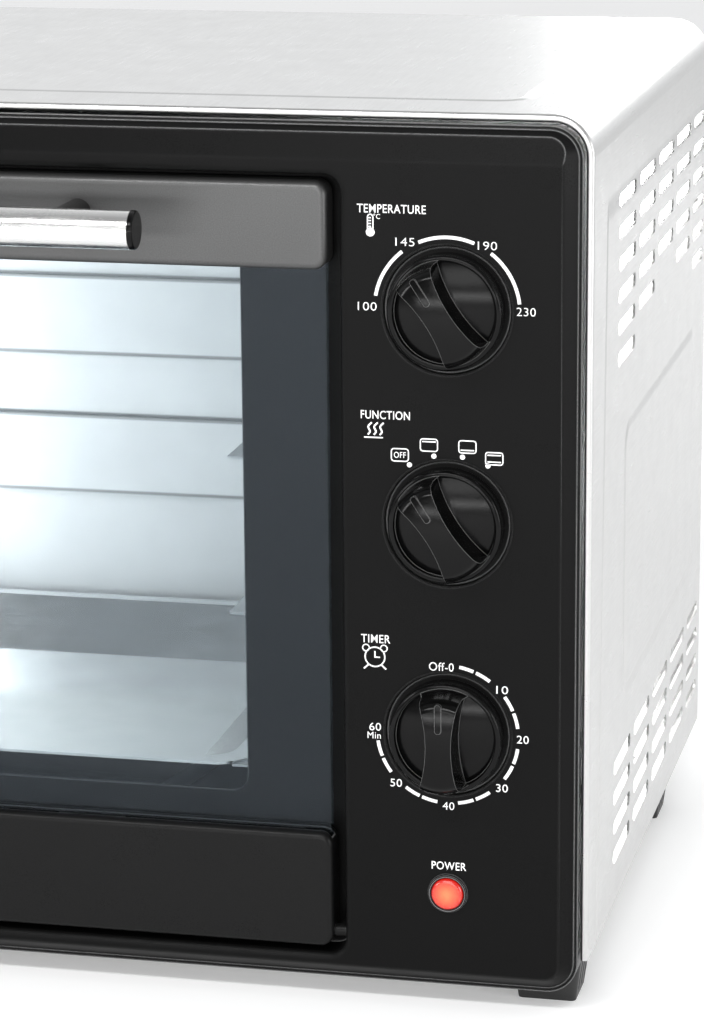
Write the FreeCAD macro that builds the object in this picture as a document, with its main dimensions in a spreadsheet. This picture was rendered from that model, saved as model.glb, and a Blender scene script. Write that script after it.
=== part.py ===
"""Countertop toaster oven, an assembly of separate pieces, in millimetres.

+Z is up, +Y runs from the door to the back, +X to the control panel's side.
The origin is at the middle of the footprint, on the surface the feet stand on.
Sheet "Sizes" holds what can be set by itself, sheet "Layout" what follows from it.
"""
import FreeCAD
import Part
import Sketcher
import math
import os
from FreeCAD import Vector, Rotation

doc = FreeCAD.newDocument("ToasterOven")

# ---------------------------------------------------------------- sizes

SIZES = [
    # outer cover
    ("width", 500.0), ("cover_height", 315.0), ("cover_depth", 308.4), ("cover_sheet", 1.0),
    ("cover_corner", 15.0), ("cover_setback", 6.3), ("hem_length", 8.0), ("hem_thick", 3.0),
    ("hem_round", 1.4), ("rear_flange", 12.0),
    ("slot_height", 5.4), ("slot_pitch", 12.0), ("slot_web", 9.9), ("slot_first", 65.8),
    ("slot_margin", 9.1), ("slot_trim", 9.4), ("upper_slots_down", 39.9), ("lower_slots_up", 55.2),
    # feet
    ("foot_height", 22.2), ("foot_top", 28.0), ("foot_base", 22.0), ("foot_inset", 18.0),
    ("front_foot_back", 32.0), ("rear_foot_in", 67.7), ("foot_screw_r", 1.9),
    ("foot_groove", 2.0), ("foot_groove_cut", 0.8), ("foot_groove_ends", 3.0), ("foot_groove_pitch", 6.3),
    # front frame
    ("frame_sheet", 1.2), ("frame_depth", 16.0), ("rim_gap", 3.7), ("frame_drop", 12.7),
    ("rim_lip", 1.6), ("bevel_width", 4.8), ("bevel_depth", 5.0), ("top_bevel", 3.0), ("tilt_height", 8.7),
    ("tilt_depth", 1.5), ("frame_corner", 12.0), ("left_border", 7.7), ("bottom_border", 4.2),
    ("top_border", 5.7), ("panel_width", 80.9), ("recess_depth", 13.0), ("recess_corner", 6.0),
    ("recess_lip", 2.3), ("crease_round", 1.2), ("dish_lip", 0.7),
    ("door_gap", 4.6), ("door_gap_below", 2.7), ("door_gap_above", 2.4),
    # door
    ("door_proud", 1.0), ("rail_depth", 11.0), ("upper_rail", 31.9), ("lower_rail", 45.0),
    ("rail_wall", 1.2), ("rail_end", 12.0), ("rail_corner", 5.0), ("rail_round", 2.5),
    ("glass_thick", 4.0), ("glass_back", 4.0), ("glass_in_rail", 7.4), ("glass_play", 0.2),
    ("glass_side", 1.0), ("pivot_above", 5.2), ("pivot_back", 5.0), ("hinge_pin_r", 2.5),
    ("pin_in_rail", 10.0), ("running_fit", 0.06), ("bracket_thick", 2.0), ("bracket_height", 22.0),
    ("spring_wire", 0.9), ("spring_turns", 6.0), ("spring_pitch", 1.1), ("spring_play", 0.25),
    ("clip_width", 26.0), ("clip_height", 18.0), ("clip_thick", 1.0),
    # handle
    ("handle_length", 262.0), ("handle_r", 7.0), ("handle_wall", 1.0), ("handle_reach", 35.0),
    ("handle_cap", 2.0), ("handle_plug", 6.0), ("handle_chamfer", 0.8),
    ("handle_post_r", 5.0), ("handle_post_inset", 32.0),
    ("handle_above", 18.7), ("handle_screw_r", 2.0), ("handle_head_r", 4.0), ("handle_head", 2.0),
    # cavity
    ("liner_sheet", 1.0), ("cavity_side", 32.0), ("cavity_behind", 59.7), ("cavity_floor", 17.8),
    ("cavity_above", 45.2), ("opening_inset", 3.5), ("opening_bottom", 55.8),
    ("opening_below_roof", 6.0), ("band_depth", 3.0), ("band_inset", 4.0), ("band_height", 34.5),
         ("band_low", 108.0),
    ("band_high", 170.5),
    ("rail_reach", 12.0), ("rail_lip", 9.0), ("rail_level", 62.8), ("rail_step", 60.0),
    ("rail_clear", 8.0),
    # heaters
    ("heater_r", 3.5), ("heater_hole", 0.5), ("lower_heater", 31.0), ("upper_heater", 12.3),
         ("heater_stub", 2.0),
    ("heater_inset", 60.0), ("insulator_r", 7.0), ("insulator_length", 14.0),
    ("terminal_r", 1.5), ("terminal_length", 9.0),
    # baking tray
    ("tray_sheet", 1.0), ("tray_height", 24.0), ("tray_side_gap", 6.0), ("tray_front", 20.0),
    ("tray_back_gap", 10.0), ("tray_slope", 30.0), ("tray_slope_ends", 9.0), ("tray_rim", 6.0),
    ("tray_corner", 14.0),
    # controls
    ("dial_shift", 1.15), ("temperature_down", 53.0), ("timer_up", 86.9), ("function_shift", 0.65),
    ("dish_r", 23.75), ("dish_depth", 1.5), ("dish_taper", 1.0), ("knob_r", 21.0),
    ("knob_base", 3.5), ("brim_rise", 3.4), ("brim_inner_r", 18.6), ("brim_round", 1.0),
    ("knob_cap_r", 19.6), ("knob_top_r", 17.8), ("knob_height", 19.0),
    ("knob_lift", 0.6), ("knob_round", 4.0), ("grip_waist", 9.5), ("grip_end", 15.0),
    ("grip_reach", 17.0), ("grip_floor", 4.6), ("knob_hollow_r", 16.5), ("knob_hollow", 3.0),
    ("knob_hub_r", 6.0), ("pointer_width", 2.4), ("pointer_length", 11.0), ("pointer_rise", 0.5),
    ("shaft_r", 3.0), ("shaft_in_knob", 10.0), ("shaft_in_body", 12.0), ("shaft_hole", 1.0),
    ("switch_size", 38.0), ("switch_depth", 27.0), ("timer_size", 56.0), ("timer_depth", 32.0),
    ("bell_r", 15.0), ("bell_height", 9.0), ("control_screw_r", 1.5), ("control_screw_out", 12.5),
    ("lamp_up", 25.4), ("lamp_r", 6.0), ("lamp_proud", 2.6), ("lamp_neck_r", 4.8),
    ("lamp_length", 14.0), ("lamp_holder_wall", 2.5), ("lamp_fit", 0.1),
    # back and electrical inlet
    ("screw_r", 1.7), ("screw_fit", 0.1), ("screw_head_r", 3.5), ("screw_head", 2.0),
    ("screw_length", 8.0), ("gland_r", 11.0), ("gland_neck_r", 8.0), ("gland_bore_r", 4.0),
    ("gland_flange", 2.0), ("gland_in", 95.0), ("gland_up", 40.0), ("base_flange", 12.0),
    ("panel_play", 0.2), ("block_length", 42.0), ("block_depth", 18.0), ("block_height", 16.0),
    ("block_way_r", 2.5), ("block_ahead", 60.0),
    # how far cutting shapes run past the faces they cut
    ("past", 2.0), ("past_far", 5.0),
]

LAYOUT = [
    ("half_width", "Sizes.width / 2"),
    ("cover_bottom", "Sizes.foot_height"),
    ("cover_top", "cover_bottom + Sizes.cover_height"),
    ("cover_inner", "half_width - Sizes.cover_sheet"),
    # the panel's face lies where the whole part is centred front to back
    ("rear_reach", "Sizes.cover_setback + Sizes.cover_depth + Sizes.screw_head"),
    ("panel_y", "(Sizes.handle_reach + Sizes.handle_r - rear_reach) / 2"),
    ("cover_front", "panel_y + Sizes.cover_setback"),
    ("cover_back", "cover_front + Sizes.cover_depth"),
    # front frame, outline of the rim and of the flat face inside its bevel
    ("frame_right", "half_width - Sizes.rim_gap"),
    ("frame_bottom", "cover_bottom - Sizes.frame_drop"),
    ("frame_top", "cover_top - Sizes.rim_gap"),
    ("frame_back", "panel_y + Sizes.frame_depth"),
    ("face_right", "frame_right - Sizes.rim_lip - Sizes.bevel_width"),
    ("face_bottom", "frame_bottom + Sizes.rim_lip + Sizes.bevel_width"),
    ("tilt_top", "frame_top - Sizes.rim_lip - Sizes.top_bevel"),
    ("face_top", "tilt_top - Sizes.tilt_height"),
    ("recess_right", "face_right - Sizes.panel_width"),
    ("recess_left", "-face_right + Sizes.left_border"),
    ("recess_bottom", "face_bottom + Sizes.bottom_border"),
    ("recess_top", "face_top - Sizes.top_border"),
    ("recess_floor", "panel_y + Sizes.recess_depth"),
    ("recess_back", "recess_floor + Sizes.frame_sheet"),
    # door
    ("door_right", "recess_right - Sizes.door_gap"),
    ("door_left", "recess_left + Sizes.door_gap"),
    ("door_middle", "(door_left + door_right) / 2"),
    ("door_bottom", "recess_bottom + Sizes.door_gap_below"),
    ("door_top", "recess_top - Sizes.door_gap_above"),
    ("door_front", "panel_y - Sizes.door_proud"),
    ("door_back", "door_front + Sizes.rail_depth"),
    ("upper_rail_bottom", "door_top - Sizes.upper_rail"),
    ("lower_rail_top", "door_bottom + Sizes.lower_rail"),
    ("glass_front", "door_front + Sizes.glass_back"),
    ("pivot_y", "panel_y + Sizes.pivot_back"),
    ("pivot_z", "door_bottom + Sizes.pivot_above"),
    ("handle_y", "panel_y - Sizes.handle_reach"),
    ("handle_z", "upper_rail_bottom + Sizes.handle_above"),
    # cavity, its inner faces
    ("cavity_right", "door_right - Sizes.cavity_side"),
    ("cavity_left", "door_left + Sizes.cavity_side"),
    ("cavity_bottom", "cover_bottom + Sizes.cavity_floor"),
    ("cavity_top", "cover_top - Sizes.cavity_above"),
    ("cavity_back", "cover_back - Sizes.cavity_behind"),
    ("window_right", "cavity_right - Sizes.opening_inset"),
    ("window_left", "cavity_left + Sizes.opening_inset"),
    ("window_bottom", "cover_bottom + Sizes.opening_bottom"),
    ("window_top", "cavity_top - Sizes.opening_below_roof"),
    ("shelf_z", "cover_bottom + Sizes.rail_level"),
    # baking tray, its rim lies on the lowest shelf rails
    ("tray_half", "(cavity_right - cavity_left) / 2 - Sizes.tray_side_gap"),
    ("tray_y", "panel_y + Sizes.tray_front"),
    ("tray_length", "cavity_back - Sizes.band_depth - Sizes.tray_back_gap - tray_y"),
    ("tray_middle_y", "tray_y + tray_length / 2"),
    # controls
    ("dial_x", "face_right - Sizes.panel_width / 2 - Sizes.dial_shift"),
    ("temperature_z", "face_top - Sizes.temperature_down"),
    ("timer_z", "cover_bottom + Sizes.timer_up"),
    ("function_z", "(temperature_z + timer_z) / 2 + Sizes.function_shift"),
    ("dish_floor", "panel_y + Sizes.dish_depth"),
    ("panel_back", "dish_floor + Sizes.frame_sheet"),
    ("knob_back", "dish_floor - Sizes.knob_lift"),
    ("knob_front", "knob_back - Sizes.knob_height"),
    # back
    ("rear_panel_y", "cover_back - 2 * Sizes.cover_sheet"),
    ("base_front", "frame_back + 0.3"),
    ("foot_screw_low", "Sizes.foot_height * 0.35"),
    # vent slots: five columns share the side's depth, the last one is cut short
    ("slot_pitch_y", "(Sizes.cover_setback + Sizes.cover_depth - Sizes.slot_margin + Sizes.slot_trim"
                     " - Sizes.slot_first + Sizes.slot_web) / 5"),
    ("slot_length", "slot_pitch_y - Sizes.slot_web"),
]


def make_sheet(name, rows, prefix):
    sheet = doc.addObject("Spreadsheet::Sheet", name)
    for row, (alias, content) in enumerate(rows, start=1):
        sheet.set(f"A{row}", alias)
        sheet.set(f"B{row}", prefix + str(content))
        sheet.setAlias(f"B{row}", alias)
    doc.recompute()
    return sheet


sizes = make_sheet("Sizes", SIZES, "")
layout = make_sheet("Layout", LAYOUT, "=")
SIZE_NAMES = {alias for alias, _ in SIZES}
LAYOUT_NAMES = {alias for alias, _ in LAYOUT}


def full(expression):
    """Write each alias in an expression with the name of its sheet in front."""
    words = []
    word = ""
    for letter in str(expression) + " ":
        if letter.isalnum() or letter in "_.":
            word += letter
            continue
        if word in SIZE_NAMES:
            word = "Sizes." + word
        elif word in LAYOUT_NAMES:
            word = "Layout." + word
        words.append(word + letter)
        word = ""
    return "".join(words).strip()


def value(expression):
    result = sizes.evalExpression(full(expression))
    return float(getattr(result, "Value", result))


# ---------------------------------------------------------------- building blocks

NODES = []
TURNS = {
    "x": Rotation(Vector(0, 1, 0), 90),
    "y": Rotation(Vector(1, 0, 0), -90),
    "z": Rotation(),
}


def bind(thing, **expressions):
    for name, expression in expressions.items():
        thing.setExpression(name, full(expression))
    return thing


def place(thing, x=0, y=0, z=0, axis="z"):
    thing.Placement.Rotation = TURNS[axis]
    for direction, expression in (("x", x), ("y", y), ("z", z)):
        thing.setExpression("Placement.Base." + direction, full(expression))
    return thing


def box(name, x, y, z):
    """A block between two planes along each axis, each given as (low, high)."""
    block = doc.addObject("Part::Box", name)
    bind(block, Length=f"({x[1]}) - ({x[0]})", Width=f"({y[1]}) - ({y[0]})", Height=f"({z[1]}) - ({z[0]})")
    return place(block, x[0], y[0], z[0])


def rod(name, axis, centre, radius, length):
    """A cylinder that starts at centre and runs along axis."""
    cylinder = doc.addObject("Part::Cylinder", name)
    bind(cylinder, Radius=radius, Height=length)
    return place(cylinder, *centre, axis=axis)


def cone(name, axis, centre, first_radius, last_radius, length):
    frustum = doc.addObject("Part::Cone", name)
    bind(frustum, Radius1=first_radius, Radius2=last_radius, Height=length)
    return place(frustum, *centre, axis=axis)


def fuse(name, pieces):
    joined = doc.addObject("Part::MultiFuse", name)
    joined.Shapes = pieces
    joined.Refine = True
    return joined


def group(name, pieces):
    """Separate solids that are one node, such as a set of screws."""
    compound = doc.addObject("Part::Compound", name)
    compound.Links = pieces
    return compound


def cut(name, base, tools):
    tool = tools[0] if len(tools) == 1 else fuse(name + "_tools", tools)
    result = doc.addObject("Part::Cut", name)
    result.Base = base
    result.Tool = tool
    return result


def node(label, thing):
    thing.Label = label
    NODES.append(thing)
    return thing


def body_of(name, x=0, y=0, z=0):
    return place(doc.addObject("PartDesign::Body", name), x, y, z)


def sketch_on(body, name, role, offset="0"):
    """A sketch on one of the body's own origin planes, moved along that plane's normal."""
    sketch = body.newObject("Sketcher::SketchObject", name)
    planes = {item.Role: item for item in body.Origin.OriginFeatures}
    sketch.AttachmentSupport = [(planes[role], "")]
    sketch.MapMode = "FlatFace"
    sketch.setExpression("AttachmentOffset.Base.z", full(offset))
    return sketch


def hold(sketch, kind, first, first_point, expression, second=None, second_point=None):
    """Add a driving dimension to a sketch and bind it to the sheets."""
    amount = value(expression)
    if second is None:
        constraint = Sketcher.Constraint(kind, first, first_point, amount)
    else:
        constraint = Sketcher.Constraint(kind, first, first_point, second, second_point, amount)
    index = sketch.addConstraint(constraint)
    sketch.setExpression(f"Constraints[{index}]", full(expression))


def draw_rounded(sketch, u, v, radius):
    """Draw a rectangle with round corners, all dimensions held by expressions."""
    u0, u1, v0, v1, r = value(u[0]), value(u[1]), value(v[0]), value(v[1]), value(radius)
    corners = [(u0 + r, v0 + r, 180), (u1 - r, v0 + r, 270), (u1 - r, v1 - r, 0), (u0 + r, v1 - r, 90)]
    sides = [
        ((u0 + r, v0), (u1 - r, v0)), ((u1, v0 + r), (u1, v1 - r)),
        ((u1 - r, v1), (u0 + r, v1)), ((u0, v1 - r), (u0, v0 + r)),
    ]
    first = sketch.GeometryCount
    for start, end in sides:
        sketch.addGeometry(Part.LineSegment(Vector(*start, 0), Vector(*end, 0)))
    for x, y, angle in corners:
        circle = Part.Circle(Vector(x, y, 0), Vector(0, 0, 1), r)
        low = math.radians(angle)
        sketch.addGeometry(Part.ArcOfCircle(circle, low, low + math.pi / 2))
    bottom, right, top, left = range(first, first + 4)
    arcs = list(range(first + 4, first + 8))
    joints = [(left, 2, arcs[0], 1), (arcs[0], 2, bottom, 1), (bottom, 2, arcs[1], 1),
              (arcs[1], 2, right, 1),
              (right, 2, arcs[2], 1), (arcs[2], 2, top, 1), (top, 2, arcs[3], 1), (arcs[3], 2, left, 1)]
    for joint in joints:
        sketch.addConstraint(Sketcher.Constraint("Tangent", *joint))
    for arc in arcs[1:]:
        sketch.addConstraint(Sketcher.Constraint("Equal", arcs[0], arc))
    sketch.addConstraint(Sketcher.Constraint("Horizontal", bottom))
    sketch.addConstraint(Sketcher.Constraint("Vertical", right))
    index = sketch.addConstraint(Sketcher.Constraint("Radius", arcs[0], r))
    sketch.setExpression(f"Constraints[{index}]", full(radius))
    hold(sketch, "DistanceX", -1, 1, u[0], left, 1)
    hold(sketch, "DistanceX", -1, 1, u[1], right, 1)
    hold(sketch, "DistanceY", -1, 1, v[0], bottom, 1)
    hold(sketch, "DistanceY", -1, 1, v[1], top, 1)


def front_plate(name, x, z, radius, depth, y):
    """A plate with round corners that stands upright: its outline lies in X and Z."""
    body = body_of(name, y=y)
    sketch = sketch_on(body, name + "_outline", "XZ_Plane")
    draw_rounded(sketch, x, z, radius)
    pad = body.newObject("PartDesign::Pad", name + "_pad")
    pad.Profile = sketch
    pad.Reversed = True
    bind(pad, Length=depth)
    return body


def loft_between(body, name, role, outlines):
    """An additive loft through rounded rectangles given as (offset, u, v, radius)."""
    sketches = []
    for index, (offset, u, v, radius) in enumerate(outlines):
        sketch = sketch_on(body, f"{name}_{index}", role, offset)
        draw_rounded(sketch, u, v, radius)
        sketches.append(sketch)
    loft = body.newObject("PartDesign::AdditiveLoft", name)
    loft.Profile = sketches[0]
    loft.Sections = sketches[1:]
    loft.Ruled = True
    return loft


def edges_where(shape, test):
    return [index for index, edge in enumerate(shape.Edges, start=1) if test(edge)]


def round_edges(name, base, radius, test):
    """Round the edges of base that pass a test on each edge."""
    return round_sets(name, base, [(radius, test)])


def round_sets(name, base, sets):
    """Round several sets of edges, each given as a radius and a test on each edge."""
    doc.recompute()
    rounded = doc.addObject("Part::Fillet", name)
    rounded.Base = base
    edges = []
    for radius, test in sets:
        size = value(radius)
        edges += [(index, size, size) for index in edges_where(base.Shape, test)]
    rounded.Edges = edges
    return rounded


NEAR = 0.01
ALONG = 0.9


def lies_at(edge, y):
    return edge.BoundBox.YMin > y - NEAR and edge.BoundBox.YMax < y + NEAR


# ---------------------------------------------------------------- outer cover and back

def make_cover():
    """Folded steel cover: top and two sides, hemmed in front, flanged at the back, with vent slots."""
    sheet = "cover_sheet"
    shell = front_plate("cover_shell", ("-half_width", "half_width"),
                        ("cover_bottom - 3 * cover_corner", "cover_top"), "cover_corner", "cover_depth",
                        "cover_front")
    inner = front_plate("cover_hollow", (f"-half_width + {sheet}", f"half_width - {sheet}"),
                        ("cover_bottom - 4 * cover_corner", f"cover_top - {sheet}"),
                        f"cover_corner - {sheet}",
                        "cover_depth - hem_length - cover_sheet", "cover_front + hem_length")
    mouth = front_plate("cover_mouth", ("-half_width + hem_thick", "half_width - hem_thick"),
                        ("cover_bottom - 4 * cover_corner", "cover_top - hem_thick"),
                        "cover_corner - hem_thick", "hem_length * 1.5", "cover_front - hem_length / 4")
    back = front_plate("cover_back_mouth", ("-half_width + rear_flange", "half_width - rear_flange"),
                       ("cover_bottom - 4 * cover_corner", "cover_top - rear_flange"), "cover_corner / 5",
                       "4 * cover_sheet", "cover_back - 2 * cover_sheet")
    below = box("cover_below", ("-width", "width"), ("cover_front - past_far", "cover_back + past_far"),
                ("cover_bottom - 5 * cover_corner", "cover_bottom"))
    holes = [rod(f"cover_screw_hole_{index}", "y", (x, "rear_panel_y", z), "screw_r + screw_fit", 6)
             for index, (x, z) in enumerate(REAR_SCREWS)]
    blank = cut("cover_blank", shell, [inner, mouth, back, below])

    def is_hem(edge):
        return lies_at(edge, value("cover_front")) and edge.BoundBox.DiagonalLength > value("2 * hem_thick")

    hemmed = round_edges("cover_hemmed", blank, "hem_round", is_hem)
    return cut("cover", hemmed, vent_slots() + holes)


def vent_slots():
    """Rows of horizontal slots through both sides; the columns have uneven counts."""
    slots = []
    columns = ((6, 4), (5, 4), (4, 4), (5, 4), (6, 4))
    for column, (upper, lower) in enumerate(columns):
        for place_name, top, count in (("upper", "cover_top - upper_slots_down", upper),
                                       ("lower", "cover_bottom + lower_slots_up", lower)):
            length = "slot_length" if column < len(columns) - 1 else "slot_length - slot_trim"
            slots.append(slot_stack(f"slots_{column}_{place_name}", column, top, length, count))
    return slots


def slot_stack(name, column, top, length, count):
    """One column of slots: a slot outline padded right through and repeated downwards."""
    body = body_of(name, y=f"panel_y + slot_first + {column} * slot_pitch_y", z=top)
    sketch = sketch_on(body, name + "_outline", "YZ_Plane")
    radius = value("slot_height / 2")
    right, left = value(length) - radius, radius
    sketch.addGeometry(Part.LineSegment(Vector(left, radius, 0), Vector(right, radius, 0)))
    sketch.addGeometry(Part.LineSegment(Vector(left, -radius, 0), Vector(right, -radius, 0)))
    quarter = math.pi / 2
    for centre, low in ((right, -quarter), (left, quarter)):
        circle = Part.Circle(Vector(centre, 0, 0), Vector(0, 0, 1), radius)
        sketch.addGeometry(Part.ArcOfCircle(circle, low, low + 2 * quarter))
    for joint in ((0, 2, 2, 2), (2, 1, 1, 2), (1, 1, 3, 2), (3, 1, 0, 1)):
        sketch.addConstraint(Sketcher.Constraint("Tangent", *joint))
    sketch.addConstraint(Sketcher.Constraint("Horizontal", 0))
    sketch.addConstraint(Sketcher.Constraint("PointOnObject", 2, 3, -1))
    index = sketch.addConstraint(Sketcher.Constraint("Radius", 2, radius))
    sketch.setExpression(f"Constraints[{index}]", full("slot_height / 2"))
    hold(sketch, "DistanceX", -1, 1, "slot_height / 2", 3, 3)
    hold(sketch, "DistanceX", -1, 1, f"{length} - slot_height / 2", 2, 3)
    pad = body.newObject("PartDesign::Pad", name + "_pad")
    pad.Profile = sketch
    pad.Midplane = True
    bind(pad, Length="width * 1.2")
    doc.recompute()
    pattern = body.newObject("PartDesign::LinearPattern", name + "_rows")
    pattern.Originals = [pad]
    pattern.Direction = (sketch, ["V_Axis"])
    pattern.Reversed = True
    pattern.Occurrences = count
    bind(pattern, Length=f"slot_pitch * {count - 1}")
    body.Tip = pattern
    return body


REAR_SCREWS = [(f"{side} * (half_width - rear_flange / 2)", f"cover_bottom + cover_height * {part}")
               for side in (-1, 1) for part in (0.2, 0.75)]
REAR_SCREWS += [(f"{side} * half_width / 2", "cover_top - rear_flange / 2") for side in (-1, 1)]


def make_rear_panel():
    """Flat back plate behind the cover's flange, with louvre slots and the inlet hole."""
    plate = front_plate("rear_plate", ("-cover_inner + panel_play", "cover_inner - panel_play"),
                        ("cover_bottom + cover_sheet", "cover_top - cover_sheet - panel_play"),
                        "cover_corner - cover_sheet - panel_play", "cover_sheet", "rear_panel_y")
    tools = [rod(f"rear_hole_{index}", "y", (x, "rear_panel_y - past", z), "screw_r + screw_fit", 5)
             for index, (x, z) in enumerate(REAR_SCREWS)]
    tools.append(rod("rear_gland_hole", "y",
                     ("half_width - gland_in", "rear_panel_y - past", "cover_bottom + gland_up"),
                     "gland_neck_r + screw_fit", 5))
    for side in (-1, 1):
        for row in range(8):
            middle = f"({side} * half_width * 0.5)"
            low = f"cover_bottom + cover_height * 0.42 + {row} * slot_pitch"
            tools.append(box(f"rear_vent_{side + 1}_{row}",
                             (f"{middle} - slot_length", f"{middle} + slot_length"),
                             ("rear_panel_y - past", "rear_panel_y + 3"),
                             (low, f"{low} + slot_height * 0.75")))
    return cut("rear_panel", plate, tools)


def make_rear_screws():
    screws = []
    for index, (x, z) in enumerate(REAR_SCREWS):
        head = rod(f"rear_screw_head_{index}", "y", (x, "cover_back", z), "screw_head_r", "screw_head")
        shank = rod(f"rear_screw_shank_{index}", "y", (x, "cover_back - screw_length", z), "screw_r",
                    "screw_length")
        drive = box(f"rear_screw_drive_{index}", (f"{x} - screw_head_r", f"{x} + screw_head_r"),
                    ("cover_back + screw_head / 2", "cover_back + 2 * screw_head"),
                    (f"{z} - screw_head_r / 7", f"{z} + screw_head_r / 7"))
        screws.append(cut(f"rear_screw_{index}", fuse(f"rear_screw_blank_{index}", [head, shank]), [drive]))
    return group("rear_screws", screws)


def make_base():
    """Bottom plate with its two edges turned up against the cover."""
    edge = "cover_inner - panel_play"
    span = ("base_front", "rear_panel_y")
    plate = box("base_sheet", (f"-({edge})", edge), span, ("cover_bottom", "cover_bottom + cover_sheet"))
    pieces = [plate]
    for side, (low, high) in enumerate(((f"-({edge})", f"-({edge}) + cover_sheet"),
                                        (f"{edge} - cover_sheet", edge))):
        pieces.append(box(f"base_edge_{side}", (low, high), span,
                          ("cover_bottom", "cover_bottom + base_flange")))
    holes = [rod(f"base_hole_{index}", "z", (x, y, "cover_bottom - 3"), "foot_screw_r + screw_fit", 8)
             for index, (x, y) in enumerate(FEET.values())]
    return cut("base_plate", fuse("base_blank", pieces), holes)


FEET = {
    "foot_front_left": ("-(half_width - foot_inset)", "panel_y + front_foot_back"),
    "foot_front_right": ("half_width - foot_inset", "panel_y + front_foot_back"),
    "foot_rear_left": ("-(half_width - foot_inset)", "cover_back - rear_foot_in"),
    "foot_rear_right": ("half_width - foot_inset", "cover_back - rear_foot_in"),
}


def make_foot(name, x, y):
    """Tapered hollow plastic foot, ribbed, with a boss for its screw."""
    body = body_of(name + "_block", x, y, 0)
    loft_between(body, name + "_taper", "XY_Plane", [
        ("0", ("-foot_base / 2", "foot_base / 2"), ("-foot_base / 2", "foot_base / 2"), "2"),
        ("foot_height", ("-foot_top / 2", "foot_top / 2"), ("-foot_top / 2", "foot_top / 2"), "2.5"),
    ])
    grooves = []
    for side in (-1, 1):
        face = f"{x} + {side} * foot_base / 2"
        span = sorted((f"{face} - {side} * foot_groove_cut", f"{face} + {side} * foot_top"), key=value)
        for row in (-1, 0, 1):
            middle = f"{y} + {row} * foot_groove_pitch"
            grooves.append(box(f"{name}_groove_{side + 1}_{row + 1}", span,
                               (f"{middle} - foot_groove / 2", f"{middle} + foot_groove / 2"),
                               ("foot_groove_ends", "foot_height - foot_groove_ends")))
    bore = rod(name + "_bore", "z", (x, y, "foot_screw_low"), "foot_screw_r + screw_fit / 2", "foot_height")
    return cut(name, body, grooves + [bore])


def make_foot_screws():
    screws = []
    for index, (x, y) in enumerate(FEET.values()):
        shank = rod(f"foot_shank_{index}", "z", (x, y, "foot_screw_low + 1"), "foot_screw_r",
                    "foot_height + cover_sheet - foot_screw_low - 1")
        head = rod(f"foot_head_{index}", "z", (x, y, "cover_bottom + cover_sheet"), "screw_head_r",
                   "screw_head")
        screws.append(fuse(f"foot_screw_{index}", [shank, head]))
    return group("foot_screws", screws)


# ---------------------------------------------------------------- front frame

DIALS = {"temperature": "temperature_z", "function": "function_z", "timer": "timer_z"}


def tilt_cutter():
    """What is cut away so that the face leans back above the panel, up to the top bevel."""
    wedge = doc.addObject("Part::Wedge", "frame_tilt")
    bind(wedge, Xmin="-half_width", Xmax="half_width", X2min="-half_width", X2max="half_width",
         Ymin="0", Ymax="2 * tilt_height", Zmin="0", Zmax="bevel_depth",
         Z2min="-2 * tilt_depth", Z2max="bevel_depth")
    place(wedge, 0, "panel_y", "face_top")
    wedge.Placement.Rotation = Rotation(Vector(1, 0, 0), 90)
    return wedge


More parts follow.
